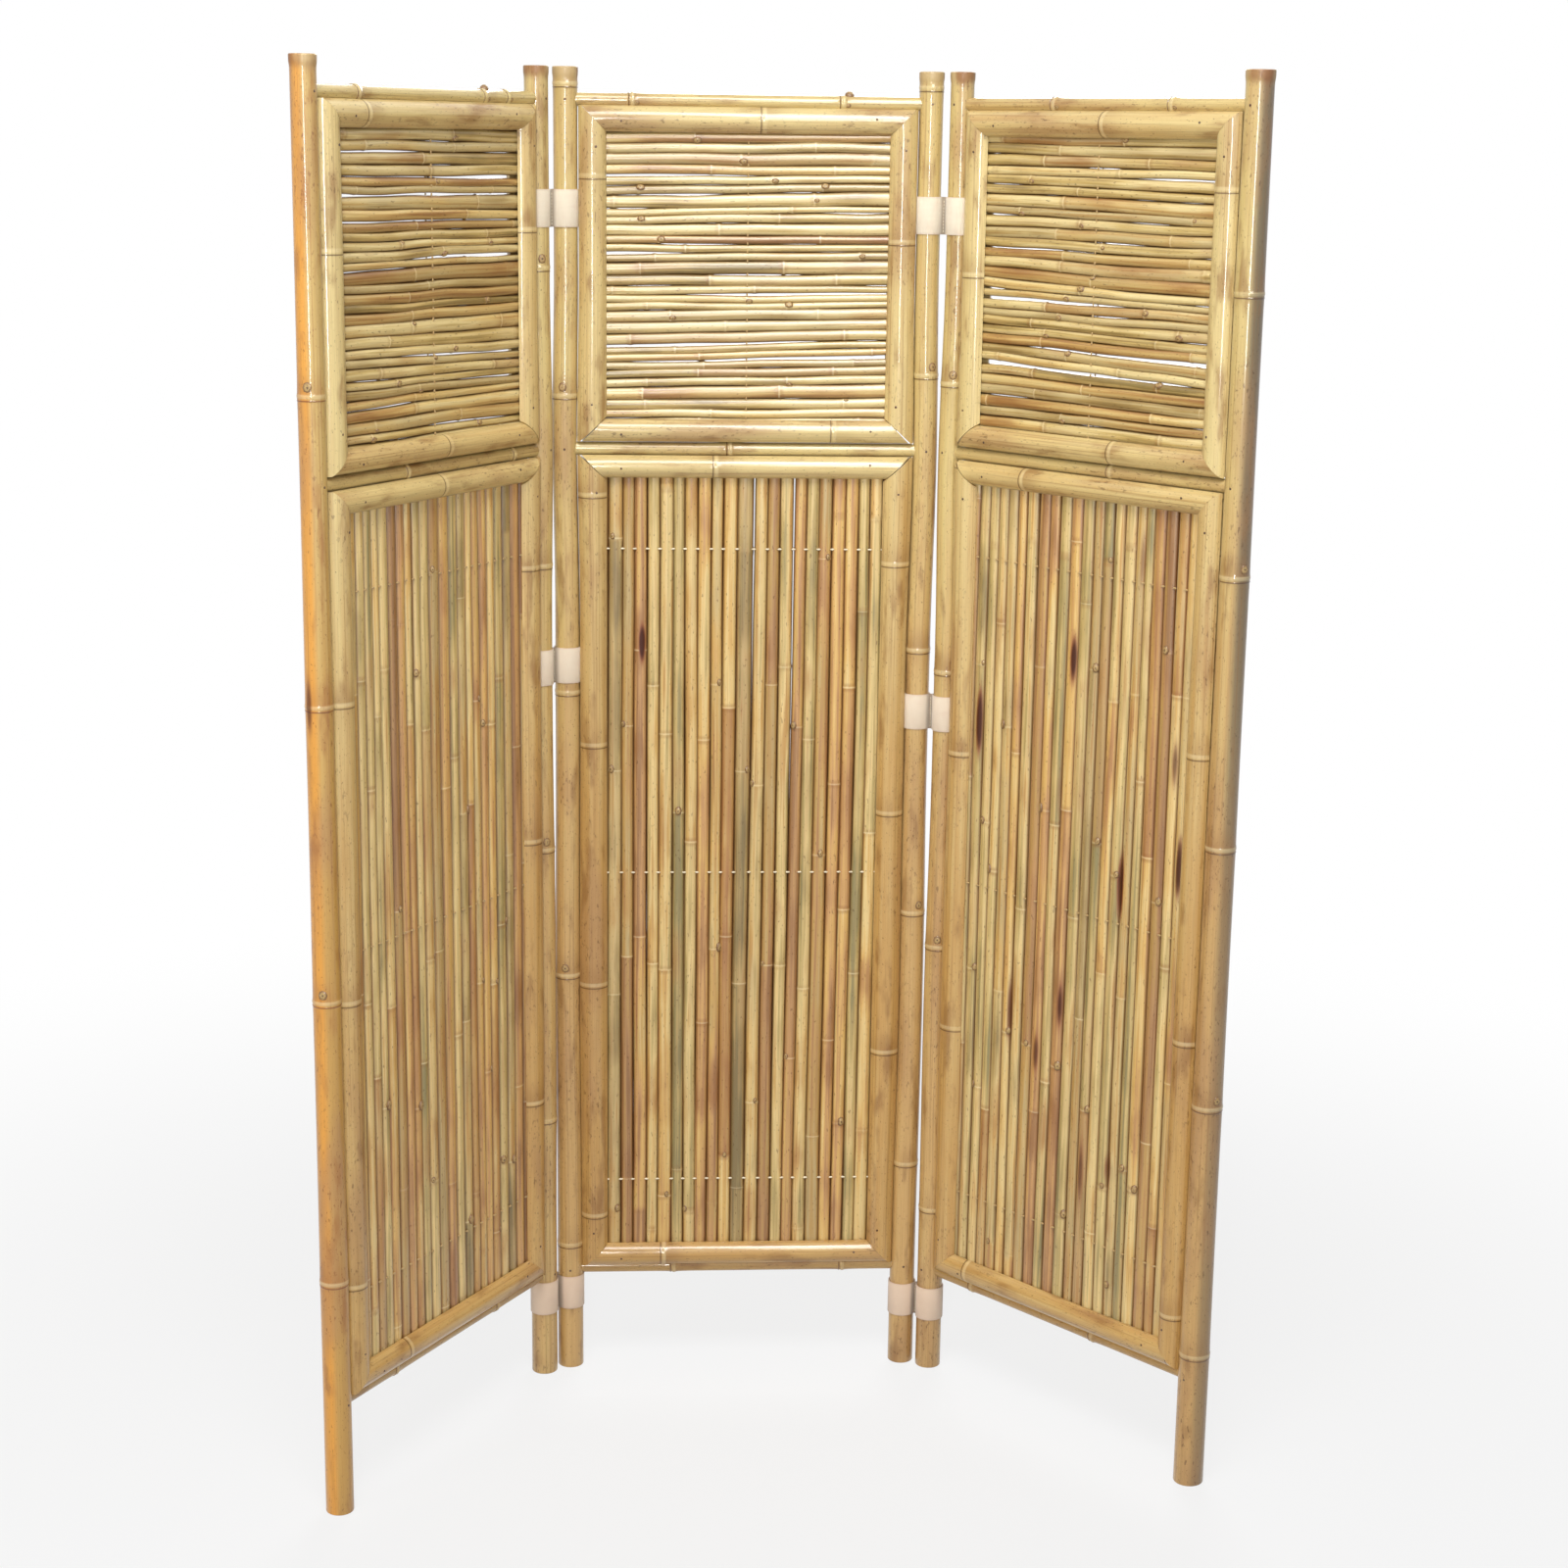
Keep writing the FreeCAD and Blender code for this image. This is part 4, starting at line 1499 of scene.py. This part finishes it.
def set_domes(name, spots, body, sizes, finish):
    """Domes on spots, each a (place, facing, running) triple of vectors, all as they stand at rest."""
    seeds = bpy.data.meshes.new(name + "_points")
    seeds.from_pydata([tuple(s[0]) for s in spots], [], [])
    for number, label in ((1, "facing"), (2, "running")):
        layer = seeds.attributes.new(label, "FLOAT_VECTOR", "POINT")
        layer.data.foreach_set("vector", np.array([s[number] for s in spots], np.float32).ravel())
    piece = grown(name, domes_tree, {**sizes, "Finish": finish}, seeds)
    for label in ("facing", "running"):
        if label in piece.data.attributes:
            piece.data.attributes.remove(piece.data.attributes[label])
    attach(piece, body)
    return piece


domes_tree = build_dome_tree()
print("dome tree:", len(domes_tree.nodes), "nodes")

# %% [markdown]
# The nails are small steel heads gone brown. Noise decides where steel shows and where rust does, and
# rust is also the rougher of the two.

# %% Nail finish
def nail_finish():
    material, g, feed = new_finish("nail_steel", {"Metallic": 0.7})
    rust = stretched_noise(g, g.place(), 500, 500, 3.0)
    feed("Base Color", g.blend(g.step(rust, 0.4, 0.7), colour("6a5a4c"), colour("5a3420")))
    feed("Roughness", 0.4 + rust * 0.4)
    return material


nail_steel = nail_finish()
print("nail finish:", nail_steel.name)

# %% [markdown]
# A nail sits near each end of a split pole, and one goes through each post at a rail. A rule only lists
# places and directions, each as a spot: where the dome sits, which way it faces and which way it runs.

# %% Nails
nail_inset = 52 * mm
nail_off_crown = 3 * mm
trim_nail_sink = 0.32 * mm
post_nail_sink = 0.3 * mm


def leaf_spot(leaf, place, facing, running):
    """A spot that is given in the frame of a leaf, carried to where the leaf stands."""
    turn = leaf_place[leaf].to_3x3()
    return leaf_place[leaf] @ place, turn @ facing, turn @ running


def trim_nails(leaf):
    """Two nails near the ends of each split pole, front and back, a little off its crown."""
    spots = []
    for window in ("upper", "lower"):
        for side in ("top", "bottom") + leaf_sides[leaf]:
            low, high = local_box(leaf + "_" + window + "_trim_" + side, leaf)
            along, across = (0, 2) if side in ("top", "bottom") else (2, 0)
            reach = (high - low) / 2
            for facing in (-1, 1):
                for end in (-1, 1):
                    local = Vector((low + high) / 2)
                    local[along] += end * (reach[along] - nail_inset)
                    local[across] += nail_off_crown * end
                    local.y = facing * (high[1] - trim_nail_sink)
                    spots.append(leaf_spot(leaf, local, Vector((0, facing, 0)), up))
    return spots


def post_middle(post, height):
    """The middle of a post at a height, with its bow."""
    axis = middle_of(post).xy + Vector(post_bend(post, height))
    return Vector((axis.x, axis.y, height))


def post_nails(leaf):
    """A nail through the front of each post at each rail."""
    spots = []
    out = leaf_place[leaf].to_3x3() @ Vector((0, -1, 0))
    for side in leaf_sides[leaf]:
        post = post_of(leaf, side)
        for rail in ("top", "mid", "bottom"):
            spot = post_middle(post, middle_of(leaf + "_rail_" + rail).z)
            spots.append((spot + out * (skin_at(culm_sizes(post), spot.z) - post_nail_sink), out, up))
    return spots


def leaf_nails(leaf):
    return trim_nails(leaf) + post_nails(leaf)


print("nails on a leaf:", len(leaf_nails("centre_leaf")))

# %% [markdown]
# Scars sit just above a node, on one side and then on the other, as the branches grew. The top rails keep
# a cut bud at each joint, and two of them the stump of a branch.

# %% Scars, buds and spurs
scar_above_node = 11 * mm
scar_sink = 0.1 * mm
bud_turn = math.radians(20)
bud_lift = 0.3 * mm
bud_beside_joint = 5 * mm
spur_sink = 0.5 * mm
spur_beside_joint = 7 * mm
spur_places = {"left_leaf": (114,), "centre_leaf": (123,)}
ahead = Vector((1, 0, 0))


def branch_scars(leaf):
    """A scar above each node of the posts, on one side and the other by turns."""
    spots = []
    for number, side in enumerate(leaf_sides[leaf]):
        post = post_of(leaf, side)
        sizes = culm_sizes(post)
        for count, height in enumerate(sizes["nodes"]):
            angle = math.radians(-100 + 35 * number + 180 * (count % 2 == 0))
            out = Vector((math.cos(angle), math.sin(angle), 0))
            middle = post_middle(post, height + scar_above_node)
            spots.append((middle + out * (skin_at(sizes, height) - scar_sink), out, up))
    return spots


def rail_buds(leaf):
    """A cut bud at each joint of the top rail, turned a little down on the front."""
    rail = leaf + "_rail_top"
    radius = np.ptp(local_points(rail, leaf)[:, 2]) / 2
    out = Vector((0, -math.cos(bud_turn), -math.sin(bud_turn)))
    middle = Vector((0, 0, middle_of(rail).z)) + out * (radius + bud_lift)
    joints = [Vector((x * mm + bud_beside_joint, 0, 0)) for x in rail_nodes[rail]]
    return [leaf_spot(leaf, middle + joint, out, ahead) for joint in joints]


def rail_spurs(leaf):
    """The stump of a branch on the top rail, beside one of its joints."""
    rail = leaf + "_rail_top"
    radius = np.ptp(local_points(rail, leaf)[:, 2]) / 2
    top = middle_of(rail).z + radius - spur_sink
    places = [Vector((x * mm + spur_beside_joint, 0, top)) for x in spur_places.get(leaf, ())]
    return [leaf_spot(leaf, place, Vector((0.25, 0, 1)), ahead) for place in places]


print("scars on a leaf:", len(branch_scars("centre_leaf")))

# %% [markdown]
# One loop now sets all of them. Each kind has a length, a breadth and a height above its surface, in
# millimetres.

# %% Nails and scars
small_kinds = [
    ("_nails", leaf_nails, (3.4, 3.4, 0.5), nail_steel),
    ("_branch_scars", branch_scars, (13, 11, 1.0), branch_scar),
    ("_rail_buds", rail_buds, (8, 6, 0.7), branch_scar),
    ("_rail_spurs", rail_spurs, (13, 11, 6.5), branch_scar),
]
for leaf in leaf_sides:
    for ending, spots_on, (length, breadth, proud), finish in small_kinds:
        spots = spots_on(leaf)
        if spots:
            sizes = {"Length": length * mm, "Breadth": breadth * mm, "Proud": proud * mm}
            set_domes(leaf + ending, spots, leaf, sizes, finish)
            print(leaf + ending, len(spots))

# %% [markdown]
# A row of stitches runs up both faces of each strap, in the waist between the posts.

# %% Stitches
stitch_pitch = 4.2 * mm
stitch_size = {"Length": 3.0 * mm, "Breadth": 0.8 * mm, "Proud": 0.35 * mm}


def waist_stitches(fold):
    """A column of stitches on both faces of each strap."""
    spots = []
    axes = [middle_of(post) for post in folds[fold]]
    along = (axes[1] - axes[0]).normalized()
    along.z = 0
    across = up.cross(along)
    for middle, low, high, ply in straps[fold]:
        for z in np.arange(low + stitch_pitch, high - stitch_pitch / 2, stitch_pitch):
            for face in (-1, 1):
                spot = Vector((middle.x, middle.y, z)) + across * face * (ply + ply_gap)
                spots.append((spot, across * face, up))
    return spots


for fold in folds:
    spots = waist_stitches(fold)
    sewing = set_domes(fold + "_strap_stitches", spots, fold + "_hinge", stitch_size, cotton_thread)
    print(fold, "stitches:", len(spots))

# %% [markdown]
# The stage is a white studio. The floor is a pale sheet that still takes the shadow: to the camera, and
# in reflections, it glows, a little near the screen and fully some metres off, so it meets the white
# background without a seam. To all other light it is plain matt paint, and the world gives only a low,
# even fill.

# %% Floor and world
ambient = 0.23
white = (1, 1, 1, 1)
floor_grey = (0.55, 0.55, 0.55, 1)
floor_glow = 0.78
floor_fade = (0.8, 2.6)
floor_reach = 30


def seen_rays(g):
    """1 for rays that show the background: straight to the camera, mirrored or through glass."""
    path = g.add("ShaderNodeLightPath", {}, {}, "Is Camera Ray")
    mirrored = g.math("MAXIMUM", path["Is Glossy Ray"], path["Is Transmission Ray"])
    return g.math("MAXIMUM", path, mirrored)


def floor_finish():
    material = bpy.data.materials.new("pale_floor")
    material.use_nodes = True
    g = Graph(material.node_tree)
    material.node_tree.nodes.clear()
    distance = g.vector("LENGTH", g.place())
    glowing = floor_glow + g.step(distance, *floor_fade) * (1 - floor_glow)
    matt = g.add("ShaderNodeBsdfDiffuse", {}, {"Color": floor_grey})
    glow = g.add("ShaderNodeEmission", {}, {"Color": white, "Strength": 1.0})
    both = g.add("ShaderNodeMixShader", {}, {0: seen_rays(g) * glowing, 1: matt, 2: glow})
    g.add("ShaderNodeOutputMaterial", {}, {"Surface": both})
    return material


floor_mesh = bpy.data.meshes.new("floor")
floor_corners = [(x * floor_reach, y * floor_reach, 0) for x, y in ((-1, -1), (1, -1), (1, 1), (-1, 1))]
floor_mesh.from_pydata(floor_corners, [], [(0, 1, 2, 3)])
floor_mesh.materials.append(floor_finish())
floor = new_object("floor", floor_mesh)

world = bpy.data.worlds.new("studio")
bpy.context.scene.world = world
world.use_nodes = True
sky = Graph(world.node_tree)
world.node_tree.nodes.clear()
level = ambient + seen_rays(sky) * (1 - ambient)
backdrop = sky.add("ShaderNodeBackground", {}, {"Color": white, "Strength": level})
sky.add("ShaderNodeOutputWorld", {}, {"Surface": backdrop})
print("stage: floor", 2 * floor_reach, "m wide, ambient light", ambient)

# %% [markdown]
# One broad lamp high in front lights the tops of the level reeds and falls off towards the feet. A tall
# narrow lamp beside the camera, like a window behind the photographer, draws the thin white lines down
# the posts. A soft lamp far to the left rounds the posts, whose right sides stay in shade, and it gives
# no highlight of its own. A large pale panel at the right shows only in the lacquer, as the broad shine
# on the level reeds of the middle leaf. The last lamp stands behind the screen, so that its back is seen
# in plain light too.

# %% Lamps
def lamp(name, place, aim, width, height, watts):
    """A rectangular lamp at a place, turned to what it lights."""
    light = bpy.data.lights.new(name, "AREA")
    light.shape = "RECTANGLE"
    light.size = width
    light.size_y = height
    light.energy = watts
    holder = new_object(name, light)
    holder.location = place
    holder.rotation_euler = (Vector(aim) - Vector(place)).to_track_quat("-Z", "Y").to_euler()
    return holder


lamp("broad_lamp", (-0.3, -1.9, 4.1), (0, 0.1, 1.2), 1.8, 1.4, 106)
lamp("window_lamp", (-0.45, -4.2, 1.75), (-0.1, 0.0, 1.3), 0.4, 1.3, 66)
side_lamp = lamp("side_lamp", (-3.0, -2.4, 1.4), (0.0, 0.0, 0.8), 1.0, 1.8, 25)
side_lamp.visible_glossy = False
shine_lamp = lamp("shine_lamp", (0.6, -2.2, 2.9), (0.1, 0.1, 1.6), 1.0, 2.0, 92)
shine_lamp.visible_diffuse = False
lamp("back_lamp", (0.7, 3.4, 3.0), (0.0, 0.0, 1.0), 2.0, 1.6, 90)
print("lamps: broad, window, side, shine and back")

# %% [markdown]
# The camera stands where the photographer stood: in front, about eye height, looking a little down.
# Place, angles and focal length come from matching the tops, feet and rails of the posts with the
# photograph.

# %% Camera
camera_place = Vector((-0.2016, -3.4356, 1.7181))
camera_pitch = -0.23263
camera_yaw = 0.06351
camera_roll = 0.01396
photo_side = 1600
focal_pixels = 2795.7

view = bpy.data.cameras.new("photo_camera")
view.sensor_width = 36.0
view.lens = focal_pixels / photo_side * view.sensor_width
camera = new_object("photo_camera", view)
aim = Matrix.Rotation(-camera_yaw, 4, "Z") @ Matrix.Rotation(math.pi / 2 + camera_pitch, 4, "X")
camera.matrix_world = Matrix.Translation(camera_place) @ aim @ Matrix.Rotation(camera_roll, 4, "Z")
bpy.context.scene.camera = camera
bpy.context.scene.view_settings.view_transform = "Standard"
print("camera: lens", round(view.lens, 2), "mm")

# %% Size of the frame
print("frame box:", [tuple(round(v, 4) for v in c) for c in frame_box])
